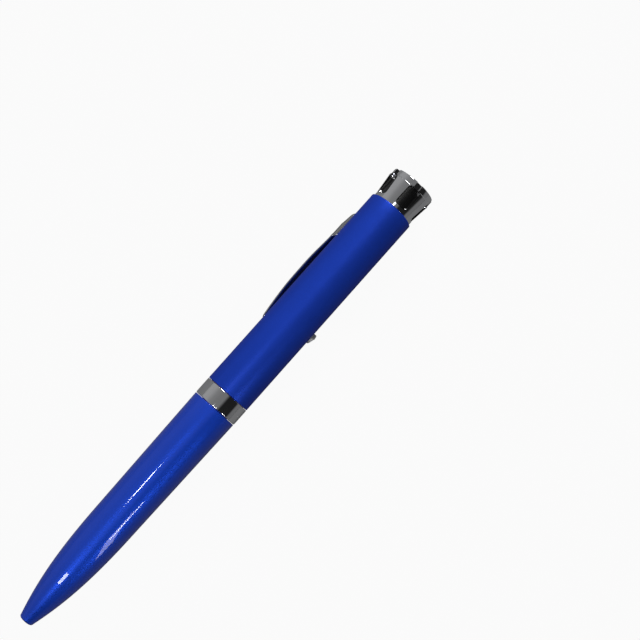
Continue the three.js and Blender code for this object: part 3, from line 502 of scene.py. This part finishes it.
class PEN_OT_finishes(bpy.types.Operator):
    """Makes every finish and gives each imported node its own"""

    bl_idname = "pen.finishes"
    bl_label = "Finishes"

    def execute(self, context):
        FINISH.update(finishes(context.scene.pen_colours))
        for subpart in frame["record"]["subparts"]:
            slots = frame["nodes"][subpart["node"]].data.materials
            slots.clear()
            slots.append(FINISH[subpart["material_slot"]])
        return {"FINISHED"}


class PEN_OT_lower_barrel(bpy.types.Operator):
    """Turns the gloss lower barrel with its blunt nose"""

    bl_idname = "pen.lower_barrel"
    bl_label = "Lower barrel"

    def execute(self, context):
        sizes = context.scene.pen_sizes
        rear = sizes.lower_rear_radius * 1000
        end = station("lower_barrel", 1)
        edge = 0.1
        rim = 0.6
        mouth = 1.25
        # The bore behind the mouth: a throat, a cone that the spring rests on, the chamber, the thread
        throat = 2.1
        throat_front = 8.0
        throat_rear = 25.5
        chamber = 4.4
        chamber_front = 31.0
        chamber_rear = 57.0
        thread = 4.8
        nose = curve((rim, 1.9), (8.0, 3.972), (16.0, 5.325), (30.0, 5.5), 40)
        outline = closed(
            [(0.25, mouth)]
            + arc(0.25, mouth + 0.2, 0.2, 270, 180, 4)
            + arc(rim, 1.3, rim, 175, 92, 8)
            + nose
            + [(end - 8, rear - edge)]
            + arc(end - edge, rear - edge, edge, 90, 0, 4)
            + [(end, thread), (chamber_rear + 0.8, thread), (chamber_rear, chamber + 0.05)]
            + [(chamber_front, chamber), (throat_rear, throat), (throat_front, throat)]
            + [(throat_front, mouth)]
        )
        piece = turned("lower_barrel_shell", outline, 128)
        set_in_pen(piece, "nose_barrel", ["lower_barrel"], "gloss_blue_lacquer")
        return {"FINISHED"}


class PEN_OT_centre_ring(bpy.types.Operator):
    """Turns the bright ring between the barrels"""

    bl_idname = "pen.centre_ring"
    bl_label = "Centre ring"

    def execute(self, context):
        sizes = context.scene.pen_sizes
        radius = sizes.barrel_radius * 1000
        roll = sizes.ring_roll * 1000
        front = station("centre_ring", 0)
        rear = station("centre_ring", 1)
        bore = 5.05
        edge = 0.15
        outline = closed(
            [(front, bore)]
            + arc(front + roll, radius - roll, roll, 180, 90, 10)
            + arc(rear - edge, radius - edge, edge, 90, 0, 4)
            + [(rear, bore)]
        )
        piece = turned("centre_ring_plated", outline, 128)
        set_in_pen(piece, "pen_body", ["centre_ring"], "chrome")
        return {"FINISHED"}


class PEN_OT_upper_barrel(bpy.types.Operator):
    """Turns the satin upper barrel and cuts the button's hole in it"""

    bl_idname = "pen.upper_barrel"
    bl_label = "Upper barrel"

    def execute(self, context):
        sizes = context.scene.pen_sizes
        radius = sizes.barrel_radius * 1000
        bore = radius - sizes.barrel_wall * 1000
        front = station("upper_barrel", 0)
        rear = station("upper_barrel", 1)
        edge = 0.15
        button = (station("button_cap", 0) + station("button_cap", 1)) / 2
        # Short faces on both sides of the hole keep its cut from pulling at the long ones
        ahead = button - 2.2
        behind = button + 2.2
        outline = closed(
            [(front, bore)]
            + arc(front + edge, radius - edge, edge, 180, 90, 4)
            + [(ahead, radius), (behind, radius), (rear - 4, radius)]
            + arc(rear - edge, radius - edge, edge, 90, 0, 4)
            + [(rear, bore), (behind, bore), (ahead, bore)]
        )
        piece = turned("upper_barrel_tube", outline, 128)
        clearance = 0.00012
        start_clean()
        bpy.ops.mesh.primitive_cylinder_add(
            vertices=48, radius=sizes.button_radius + clearance, depth=0.004,
            location=(button / 1000, 0, sizes.barrel_radius),
        )
        cutter = bpy.context.active_object
        bpy.ops.object.transform_apply(location=True, rotation=True, scale=True)
        turn_to(cutter, sizes.button_turn)
        cut_with(piece, cutter)
        set_in_pen(piece, "pen_body", ["upper_barrel"], "satin_blue_lacquer")
        return {"FINISHED"}


class PEN_OT_button(bpy.types.Operator):
    """Turns the push button over its place, slants its top and rounds its rim"""

    bl_idname = "pen.button"
    bl_label = "Push button"

    def execute(self, context):
        sizes = context.scene.pen_sizes
        middle = (station("button_cap", 0) + station("button_cap", 1)) / 2000
        depth = 0.0024
        border = 0.0004
        dish = 0.00008
        start_clean()
        bpy.ops.mesh.primitive_cylinder_add(
            vertices=64, radius=sizes.button_radius, depth=depth, location=(0, 0, 0)
        )
        piece = bpy.context.active_object
        piece.name = "button_turned"
        bpy.ops.object.transform_apply(location=True, rotation=True, scale=True)
        bpy.ops.object.mode_set(mode="EDIT")
        bpy.ops.mesh.select_all(action="SELECT")
        bpy.ops.transform.translate(value=(middle, 0, sizes.button_top - depth / 2))
        slope = Vector((-math.sin(sizes.button_slant), 0, math.cos(sizes.button_slant)))
        high = (middle + sizes.button_radius * 0.55, 0, sizes.button_top)
        bpy.ops.mesh.bisect(plane_co=high, plane_no=slope, use_fill=True, clear_outer=True)
        bpy.ops.mesh.select_all(action="DESELECT")
        bpy.ops.object.mode_set(mode="OBJECT")
        for face in piece.data.polygons:
            face.select = len(face.vertices) > 8 and face.center.z > sizes.button_top - 0.001
        bpy.ops.object.mode_set(mode="EDIT")
        bpy.ops.mesh.inset(thickness=border)
        bpy.ops.transform.translate(value=(0, 0, -dish))
        tidy_shell()
        bpy.ops.object.mode_set(mode="OBJECT")
        rounded(piece, 0.13, 4)
        turn_to(piece, sizes.button_turn)
        set_in_pen(piece, "button", ["button_cap"], "button_metal")
        return {"FINISHED"}


class PEN_OT_head(bpy.types.Operator):
    """Turns the flared lamp head, cuts its flutes and gives their floors and walls a near-black painted
    shade
    """

    bl_idname = "pen.head"
    bl_label = "Fluted head"

    def execute(self, context):
        sizes = context.scene.pen_sizes
        base = sizes.head_base_radius * 1000
        flare = sizes.flare_radius * 1000
        rim = sizes.head_end_radius * 1000
        neck = station("focus_head", 0)
        end = station("focus_head", 1)
        start = end - 8.3  # the head stands this far out of the barrel
        flutes_from = start + 1.0
        crest = start + 6.5
        recess = end - 1.9
        bore = 4.75
        neck_radius = 5.25
        mouth = 4.85
        edge = 0.15
        outline = closed(
            [(neck, bore), (neck, neck_radius), (start, neck_radius)]
            + arc(start + 0.1, base - 0.1, 0.1, 180, 90, 3)
            + [(start + 0.16, base), (flutes_from - 0.06, base), (flutes_from, base)]
            + [(crest - 0.1, flare - 0.01), (crest, flare), (crest + 0.04, flare - 0.01)]
            + [(crest + 0.24, rim + 0.01), (crest + 0.36, rim)]
            + arc(end - edge, rim - edge, edge, 84, 0, 4)
            + [(end, mouth), (end - 0.06, mouth - 0.08), (recess, 4.3), (recess, bore)]
        )
        piece = turned("focus_head_fluted", outline, 180)
        cutters = [flute_cutter(sizes, flutes_from, end - 1.5, end + 0.5)]
        while len(cutters) < FLUTES:
            copy = cutters[0].copy()
            copy.data = cutters[0].data.copy()
            bpy.context.scene.collection.objects.link(copy)
            cutters.append(copy)
        for number, cutter in enumerate(cutters):
            turn_to(cutter, sizes.flute_turn + number * 2 * math.pi / FLUTES)
        start_clean()
        for cutter in cutters:
            cutter.select_set(True)
        bpy.context.view_layer.objects.active = cutters[0]
        bpy.ops.object.join()
        floor = sizes.flute_floor * 1000
        root = turned("flute_root", [(start, 0), (start, floor), (end + 1, floor), (end + 1, 0)], 180)
        cut_with(cutters[0], root)
        cut_with(piece, cutters[0])
        set_in_pen(piece, "lamp_head", ["focus_head"], "chrome")
        # Painted shade: the near-black finish goes on the flutes' floors and walls, which the loop below
        # picks out; the rest stays chrome
        piece.data.materials.append(FINISH["flute_painted_shade"])
        for face in piece.data.polygons:
            spoke = Vector((0, face.center.y - AXIS_Y, face.center.z - AXIS_Z))
            outward = face.normal.dot(spoke.normalized())
            floor_face = outward > 0.99 and abs(spoke.length - sizes.flute_floor) < 0.00003
            wall = abs(face.normal.x) < 0.05 and abs(outward) < 0.6 and spoke.length > sizes.flute_floor
            if floor_face or wall:
                face.material_index = 1
        return {"FINISHED"}


def flute_cutter(sizes, start, step, end):
    """The shape that a flute leaves empty: rounded at its back, narrower where it opens at the front."""
    depth = 0.003
    rounding = 0.0009
    narrowing = 0.00005
    start_clean()
    bpy.ops.mesh.primitive_cube_add(size=1)
    cutter = bpy.context.active_object
    cutter.name = "flute_cutter"
    cutter.scale = ((step - start) / 1000, sizes.flute_width, depth)
    cutter.location = ((start + step) / 2000, 0, sizes.flute_floor + 0.001)
    bpy.ops.object.transform_apply(location=True, rotation=True, scale=True)
    for edge in cutter.data.edges:
        ends = [cutter.data.vertices[v].co for v in edge.vertices]
        edge.select = abs(ends[0].z - ends[1].z) > 0.001 and ends[0].x < (start + 2) / 1000
    bpy.ops.object.mode_set(mode="EDIT")
    bpy.ops.mesh.select_mode(type="EDGE")
    bpy.ops.mesh.bevel(offset=rounding, segments=8, affect="EDGES")
    bpy.ops.mesh.select_mode(type="FACE")
    bpy.ops.mesh.select_all(action="DESELECT")
    bpy.ops.object.mode_set(mode="OBJECT")
    for face in cutter.data.polygons:
        face.select = face.normal.x > 0.99
    bpy.ops.object.mode_set(mode="EDIT")
    mouth = sizes.flute_mouth / sizes.flute_width
    reach = (end - step) / 1000 - narrowing
    bpy.ops.mesh.extrude_region_move(TRANSFORM_OT_translate={"value": (narrowing, 0, 0)})
    bpy.ops.transform.resize(value=(1, mouth, 1), center_override=(0, 0, 0))
    bpy.ops.mesh.extrude_region_move(TRANSFORM_OT_translate={"value": (reach, 0, 0)})
    bpy.ops.mesh.select_mode(type="VERT")
    bpy.ops.object.mode_set(mode="OBJECT")
    return cutter


class PEN_OT_clip(bpy.types.Operator):
    """Draws the bowed clip and its foot as one bar that steps down at the root, and sets its rivet"""

    bl_idname = "pen.clip"
    bl_label = "Clip"

    def execute(self, context):
        sizes = context.scene.pen_sizes
        front = station("clip_arm", 0)
        foot = station("clip_foot", 0)
        rear = station("clip_foot", 1)
        crest = sizes.clip_crest * 1000
        thick = sizes.clip_thickness * 1000
        wide = sizes.clip_width * 1000
        foot_wide = sizes.foot_width * 1000
        # Heights above the axis of the front end's top, the foot's top and the foot's seat
        tip_height = 6.97
        foot_top = 7.52
        seat = 5.62
        bow_reach = 18.0
        bow = front + bow_reach
        nose = 1.25
        nose_wide = 2 * nose
        taper = 9.0
        heel = 1.2

        def top(at):
            """Height of the clip's outer face above the axis."""
            if at < bow:
                return crest - (crest - tip_height) * ((bow - at) / bow_reach) ** 2.4
            return crest - (crest - foot_top) * math.sin((at - bow) / (foot - bow) * math.pi / 2) ** 2

        sections = []
        # The rounded front end, thinned towards its edge
        for reach in (0.02, 0.08, 0.2, 0.4, 0.7, 1.0, nose):
            half = math.sqrt(max(0.0, nose ** 2 - (nose - reach) ** 2))
            depth = thick * (0.55 + 0.45 * min(1.0, reach / 0.7))
            sections.append((front + reach, top(front + reach) - thick / 2, 2 * half, depth))
        # The bowed strip
        for number in range(1, 25):
            at = front + nose + (foot - heel - front - nose) * number / 24
            share = min(1.0, (at - front - nose) / taper)
            sections.append((at, top(at) - thick / 2, nose_wide + (wide - nose_wide) * share, thick))
        # The step down to the foot
        for share in (0.35, 0.7, 1.0):
            at = foot - heel + 1.3 * share
            high = top(min(at, foot))
            low = foot_top - thick + (seat - foot_top + thick) * share ** 2
            sections.append((at, (high + low) / 2, wide + (foot_wide - wide) * share, high - low))
        # The foot: station, drop below its top, and how much narrower it is there
        for at, drop, less in (
            (foot + 0.8, 0, 0), (foot + 3.1, 0, 0), (foot + 4.4, 0.28, 0), (rear - 1.5, 0.54, 0),
            (rear - 0.9, 0.67, 0.25), (rear - 0.45, 0.8, 0.75), (rear - 0.15, 0.92, 1.5), (rear, 1.07, 2.2),
        ):
            high = foot_top - drop
            sections.append((at, (high + seat) / 2, foot_wide - less, high - seat))
        clip = strip("clip_strip", sections)
        turn_to(clip, sizes.clip_turn)
        set_in_pen(clip, None, ["clip_arm", "clip_foot"], "clip_steel", 40)
        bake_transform(clip)
        set_rivet(sizes, foot_top)
        return {"FINISHED"}


def set_rivet(sizes, foot_top):
    """The rivet through the clip's foot, its head domed by three insets."""
    place = (station("clip_rivet", 0) + station("clip_rivet", 1)) / 2
    depth = 2.1
    start_clean()
    bpy.ops.mesh.primitive_cylinder_add(
        vertices=48, radius=0.0012, depth=depth / 1000,
        location=(place / 1000, 0, (foot_top - depth / 2) / 1000),
    )
    rivet = bpy.context.active_object
    rivet.name = "clip_rivet_head"
    bpy.ops.object.transform_apply(location=True, rotation=True, scale=True)
    for face in rivet.data.polygons:
        face.select = face.normal.z > 0.9
    bpy.ops.object.mode_set(mode="EDIT")
    for thickness, rise in ((0.0003, 0.00008), (0.0004, 0.00005), (0.0003, 0.00002)):
        bpy.ops.mesh.inset(thickness=thickness)
        bpy.ops.transform.translate(value=(0, 0, rise))
    tidy_shell()
    bpy.ops.object.mode_set(mode="OBJECT")
    rounded(rivet, 0.06, 2)
    turn_to(rivet, sizes.clip_turn)
    set_in_pen(rivet, "pen_body", ["clip_rivet"], "clip_steel")


class PEN_OT_front_lens(bpy.types.Operator):
    """Turns the domed lens and the ring that holds it in the head's mouth"""

    bl_idname = "pen.front_lens"
    bl_label = "Front lens"

    def execute(self, context):
        start = station("projection_lens", 0)
        end = station("projection_lens", 1)
        radius = 3.9
        rise = 0.7
        clear = 3.35
        edge = 0.1
        bend = (radius ** 2 + rise ** 2) / (2 * rise)
        sweep = math.degrees(math.asin(radius / bend))
        dome = arc(end - bend, 0, bend, sweep, 0, 16)
        lens = turned(
            "projection_lens_domed", [(start, 0), (start, radius - edge), (start + edge, radius)] + dome
        )
        set_in_pen(lens, "lens", ["projection_lens"], "clear_lens")
        front = station("lens_retainer", 0)
        rear = station("lens_retainer", 1)
        ring = turned("lens_ring", closed([
            (front + 0.25, clear), (front, radius), (rear, radius), (rear, clear + edge),
            (rear - edge, clear),
        ]))
        set_in_pen(ring, "lens", ["lens_retainer"], "black_plastic")
        return {"FINISHED"}


class PEN_OT_refill(bpy.types.Operator):
    """Turns the refill's tube, its cone tip and the threaded collar, and winds the return spring"""

    bl_idname = "pen.refill"
    bl_label = "Refill, spring and collar"

    def execute(self, context):
        draw_refill_tube()
        turn_refill_tip()
        turn_collar()
        wind_spring()
        return {"FINISHED"}


def draw_refill_tube():
    """The refill's tube, with the bead behind the spring that the spring pushes on."""
    start = station("refill_tube", 0)
    end = station("refill_tube", 1)
    radius = 1.15
    bore = 0.9
    edge = 0.05
    bead = 1.8
    bead_edge = 0.08
    bead_front = station("refill_spring", 1) + 0.3
    bead_rear = bead_front + 0.8
    tube = turned("refill_tube_drawn", closed(
        [(start, bore), (start, radius - edge), (start + edge, radius)]
        + [(bead_front, radius), (bead_front, bead - bead_edge), (bead_front + bead_edge, bead)]
        + [(bead_rear - bead_edge, bead), (bead_rear, bead - bead_edge), (bead_rear, radius)]
        + [(end - edge, radius), (end, radius - edge), (end, bore)]
    ), 48)
    set_in_pen(tube, "refill", ["refill_tube"], "plated_steel")


def turn_refill_tip():
    """The cone tip, with its seat for the writing ball and its spigot in the tube."""
    mouth = station("refill_tip", 0)
    rear = station("refill_tip", 1)
    seat = mouth + 0.55
    seat_radius = 0.41
    lip = 0.45
    cone_end = mouth + 3.2
    shoulder = 1.05
    spigot = rear - 3.0
    spigot_radius = 0.8
    tip = turned("refill_tip_cone", [
        (seat, 0), (seat, seat_radius), (mouth, seat_radius), (mouth, lip), (cone_end, shoulder - 0.01),
        (cone_end + 0.2, shoulder), (spigot - 0.05, shoulder), (spigot, shoulder - 0.05),
        (spigot, spigot_radius), (rear, spigot_radius), (rear, 0),
    ], 48)
    set_in_pen(tip, "refill", ["refill_tip"], "nickel_silver")


def turn_collar():
    """The threaded collar that the lower barrel screws on to, its thread drawn as four ridges."""
    front = station("twist_collar", 0)
    rear = front + 8.1
    bore = 4.0
    root = 4.5
    crest = 4.69
    pitch = 1.625
    ridges = 4
    lead = 0.8
    ridge = ((0, root), (0.55, crest), (0.75, crest), (1.3, root))
    collar = turned("collar_thread", closed(
        [(front, bore), (front, root - 0.1), (front + 0.1, root)]
        + [(front + lead + pitch * number + along, r) for number in range(ridges) for along, r in ridge]
        + [(rear, root), (rear, bore)]
    ))
    set_in_pen(collar, "twist_sleeve", ["twist_collar"], "brass")


def wind_spring():
    """The return spring, wound at one length; in the pen it shortens by the refill's travel as the barrel is
    twisted, which is not drawn here.
    """
    front = station("refill_spring", 0)
    rear = station("refill_spring", 1)
    wire = 0.4
    coil = 1.65
    turns = 10
    start_clean()
    bpy.ops.mesh.primitive_circle_add(
        vertices=10, radius=wire / 2000, rotation=(math.pi / 2, 0, 0),
        location=((front + wire / 2) / 1000, 0, coil / 1000),
    )
    spring = bpy.context.active_object
    spring.name = "refill_spring_coil"
    bpy.ops.object.transform_apply(location=True, rotation=True, scale=True)
    apply_modifier(
        spring, "SCREW", axis="X", angle=2 * math.pi, iterations=turns, steps=24,
        screw_offset=(rear - front - wire) / turns / 1000,
    )
    bpy.ops.object.mode_set(mode="EDIT")
    bpy.ops.mesh.select_all(action="SELECT")
    bpy.ops.mesh.fill_holes(sides=0)
    tidy_shell()
    bpy.ops.object.mode_set(mode="OBJECT")
    set_in_pen(spring, "pen_body", ["refill_spring"], "spring_steel", 60)
    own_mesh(spring)


class PEN_OT_stage(bpy.types.Operator):
    """Lays the floor, hangs the lamps and sets the camera over the pen"""

    bl_idname = "pen.stage"
    bl_label = "Stage"

    def execute(self, context):
        floor_colour = context.scene.pen_colours.floor
        start_clean()
        bpy.ops.mesh.primitive_grid_add(x_subdivisions=8, y_subdivisions=8, size=3.0)
        floor = bpy.context.active_object
        floor.name = "floor"
        floor.data.materials.append(paper_floor(floor_colour))
        light_world(context.scene, floor_colour)
        # Name, place (millimetres from the nose's end, aside, up), station that it faces, size in metres
        # (across the pen, along it), watts
        for name, place, target, size, power in (
            ("crest_lamp", (-4, 90, 400), 41, (0.026, 0.026), 0.11),
            ("side_lamp", (-30, -236, 187), 32, (0.03, 0.15), 0.095),
            ("side_slit", (-12, -209, 211), 36, (0.03, 0.012), 0.05),
            ("nose_lamp", (-140, 0, 340), 13, (0.11, 0.03), 0.28),
            ("head_lamp", (196, 51, 300), 132, (0.05, 0.03), 0.014),
            ("key_lamp", (1000, 450, 600), 60, (0.35, 0.35), 15.0),
        ):
            hang_lamp(name, place, target, size, power)
        set_camera(context.scene)
        return {"FINISHED"}


def paper_floor(tint):
    """Seamless white background paper."""
    # Matt and even, with a soft fibre that only shows close up; seen by the camera it is near white
    made, tree, place = new_material("Matt background paper")
    fibres = add(tree, "TexNoise", {"Vector": place, "Scale": 1 / 0.6})
    skin = add(tree, "Bump", {"Height": fibres.outputs["Fac"], "Distance": 20e-6, "Strength": 0.3})
    shader = add(tree, "BsdfPrincipled", {
        "Base Color": scaled_colour(tint, 0.17), "Metallic": 0.0, "Roughness": 0.9,
        "Normal": skin.outputs["Normal"],
    })
    path = add(tree, "LightPath")
    seen = add(
        tree, "Math", {0: path.outputs["Is Glossy Ray"], 1: 0.03, 2: path.outputs["Is Camera Ray"]},
        operation="MULTIPLY_ADD",
    )
    through = add(
        tree, "Math", {0: seen.outputs[0], 1: path.outputs["Is Transmission Ray"]}, operation="MAXIMUM"
    )
    share = add(tree, "Math", {0: through.outputs[0], 1: 0.95}, operation="MULTIPLY")
    glow = add(tree, "Emission", {"Color": (1.0, 1.0, 1.0, 1), "Strength": 1.0})
    mixed = add(tree, "MixShader", {0: share.outputs[0], 1: shader.outputs[0], 2: glow.outputs[0]})
    add(tree, "OutputMaterial", {"Surface": mixed.outputs[0]})
    return made


def light_world(scene, tint):
    """Studio surroundings: grey above, lighter on the clip's side, dark beyond the button's side."""
    world = bpy.data.worlds.new("Studio")
    scene.world = world
    world.use_nodes = True
    tree = world.node_tree
    tree.nodes.clear()
    place = add(tree, "TexCoord")
    axes = add(tree, "SeparateXYZ", {"Vector": place.outputs["Generated"]})
    lean = add(
        tree, "Math", {0: axes.outputs["Y"], 1: axes.outputs["Z"]}, operation="ARCTAN2"
    )
    turn = add(
        tree, "MapRange", {"Value": lean.outputs[0], "From Min": -math.pi, "From Max": math.pi}
    )
    ramp = add(tree, "ValToRGB", {"Fac": turn.outputs["Result"]})
    # Degrees from straight up, towards the clip's side, and how light the surroundings are there
    stops = (
        (-180, 0.18), (-90, 0.18), (-74, 0.17), (-66, 0.015), (-18, 0.015), (-6, 0.2),
        (20, 0.21), (40, 0.25), (60, 0.36), (80, 0.38), (110, 0.25), (180, 0.18),
    )
    elements = ramp.color_ramp.elements
    while len(elements) < len(stops):
        elements.new(0.5)
    for element, (degrees, level) in zip(elements, stops):
        element.position = (degrees + 180) / 360
        element.color = (level, level, level, 1)
    path = add(tree, "LightPath")
    surround = add(tree, "Background", {"Color": ramp.outputs["Color"], "Strength": 1.0})
    backdrop = add(tree, "Background", {"Color": tint, "Strength": 1.0})
    mixed = add(
        tree, "MixShader",
        {0: path.outputs["Is Camera Ray"], 1: surround.outputs[0], 2: backdrop.outputs[0]},
    )
    output = add(tree, "OutputWorld", {"Surface": mixed.outputs[0]})
    output.is_active_output = True


def in_row(x, aside, up):
    """A place given in millimetres from the nose's end and the axis, in the row's metres."""
    return Vector((NOSE + x / 1000, AXIS_Y + aside / 1000, AXIS_Z + up / 1000))


def hang_lamp(name, place, target, size, power):
    """A rectangular lamp that faces a station on the pen."""
    data = bpy.data.lights.new(name, "AREA")
    data.shape = "RECTANGLE"
    data.size, data.size_y = size
    data.energy = power
    lamp = bpy.data.objects.new(name, data)
    bpy.context.scene.collection.objects.link(lamp)
    lamp.location = in_row(*place)
    lamp.rotation_euler = (in_row(target, 0, 0) - lamp.location).to_track_quat("-Z", "Y").to_euler()
    lamp.visible_camera = False


def set_camera(scene):
    """A camera over the pen, leaning a little so that the pen lies across the frame as photographed."""
    data = bpy.data.cameras.new("camera")
    camera = bpy.data.objects.new("camera", data)
    scene.collection.objects.link(camera)
    data.lens = 70.17
    data.sensor_width = 36
    data.clip_start = 0.01
    eye = in_row(68.0, 0, 300.0)
    aim = in_row(98.753, -4.78, 0)
    roll = math.radians(48.3)
    ahead = (aim - eye).normalized()
    right = ahead.cross(Vector((0, 1, 0))).normalized()
    up = right.cross(ahead)
    across = math.cos(roll) * right - math.sin(roll) * up
    upward = math.sin(roll) * right + math.cos(roll) * up
    turn = Matrix((across, upward, -ahead)).transposed()
    camera.matrix_world = Matrix.Translation(eye) @ turn.to_4x4()
    scene.camera = camera
    scene.view_settings.view_transform = "Standard"


OPERATORS = (
    PEN_OT_finishes,
    PEN_OT_lower_barrel,
    PEN_OT_centre_ring,
    PEN_OT_upper_barrel,
    PEN_OT_button,
    PEN_OT_head,
    PEN_OT_clip,
    PEN_OT_front_lens,
    PEN_OT_refill,
    PEN_OT_stage,
)


class PEN_PT_panel(bpy.types.Panel):
    """Lists the pen's pieces in the sidebar"""

    bl_idname = "PEN_PT_panel"
    bl_label = "Light-up pen"
    bl_space_type = "VIEW_3D"
    bl_region_type = "UI"
    bl_category = "Pen"

    def draw(self, context):
        for operator in OPERATORS:
            self.layout.operator(operator.bl_idname)


CLASSES = (PenSizes, PenColours) + OPERATORS + (PEN_PT_panel,)


def register():
    """Registers the classes and hangs the sizes and colours on the scene."""
    for made in CLASSES:
        bpy.utils.register_class(made)
    bpy.types.Scene.pen_sizes = bpy.props.PointerProperty(type=PenSizes)
    bpy.types.Scene.pen_colours = bpy.props.PointerProperty(type=PenColours)


def unregister():
    """Takes the classes and their properties off again."""
    del bpy.types.Scene.pen_colours
    del bpy.types.Scene.pen_sizes
    for made in reversed(CLASSES):
        bpy.utils.unregister_class(made)


def main():
    """Dresses the pen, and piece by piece."""
    register()
    for operator in OPERATORS:
        group, name = operator.bl_idname.split(".")
        getattr(getattr(bpy.ops, group), name)()


if __name__ == "__main__":
    main()
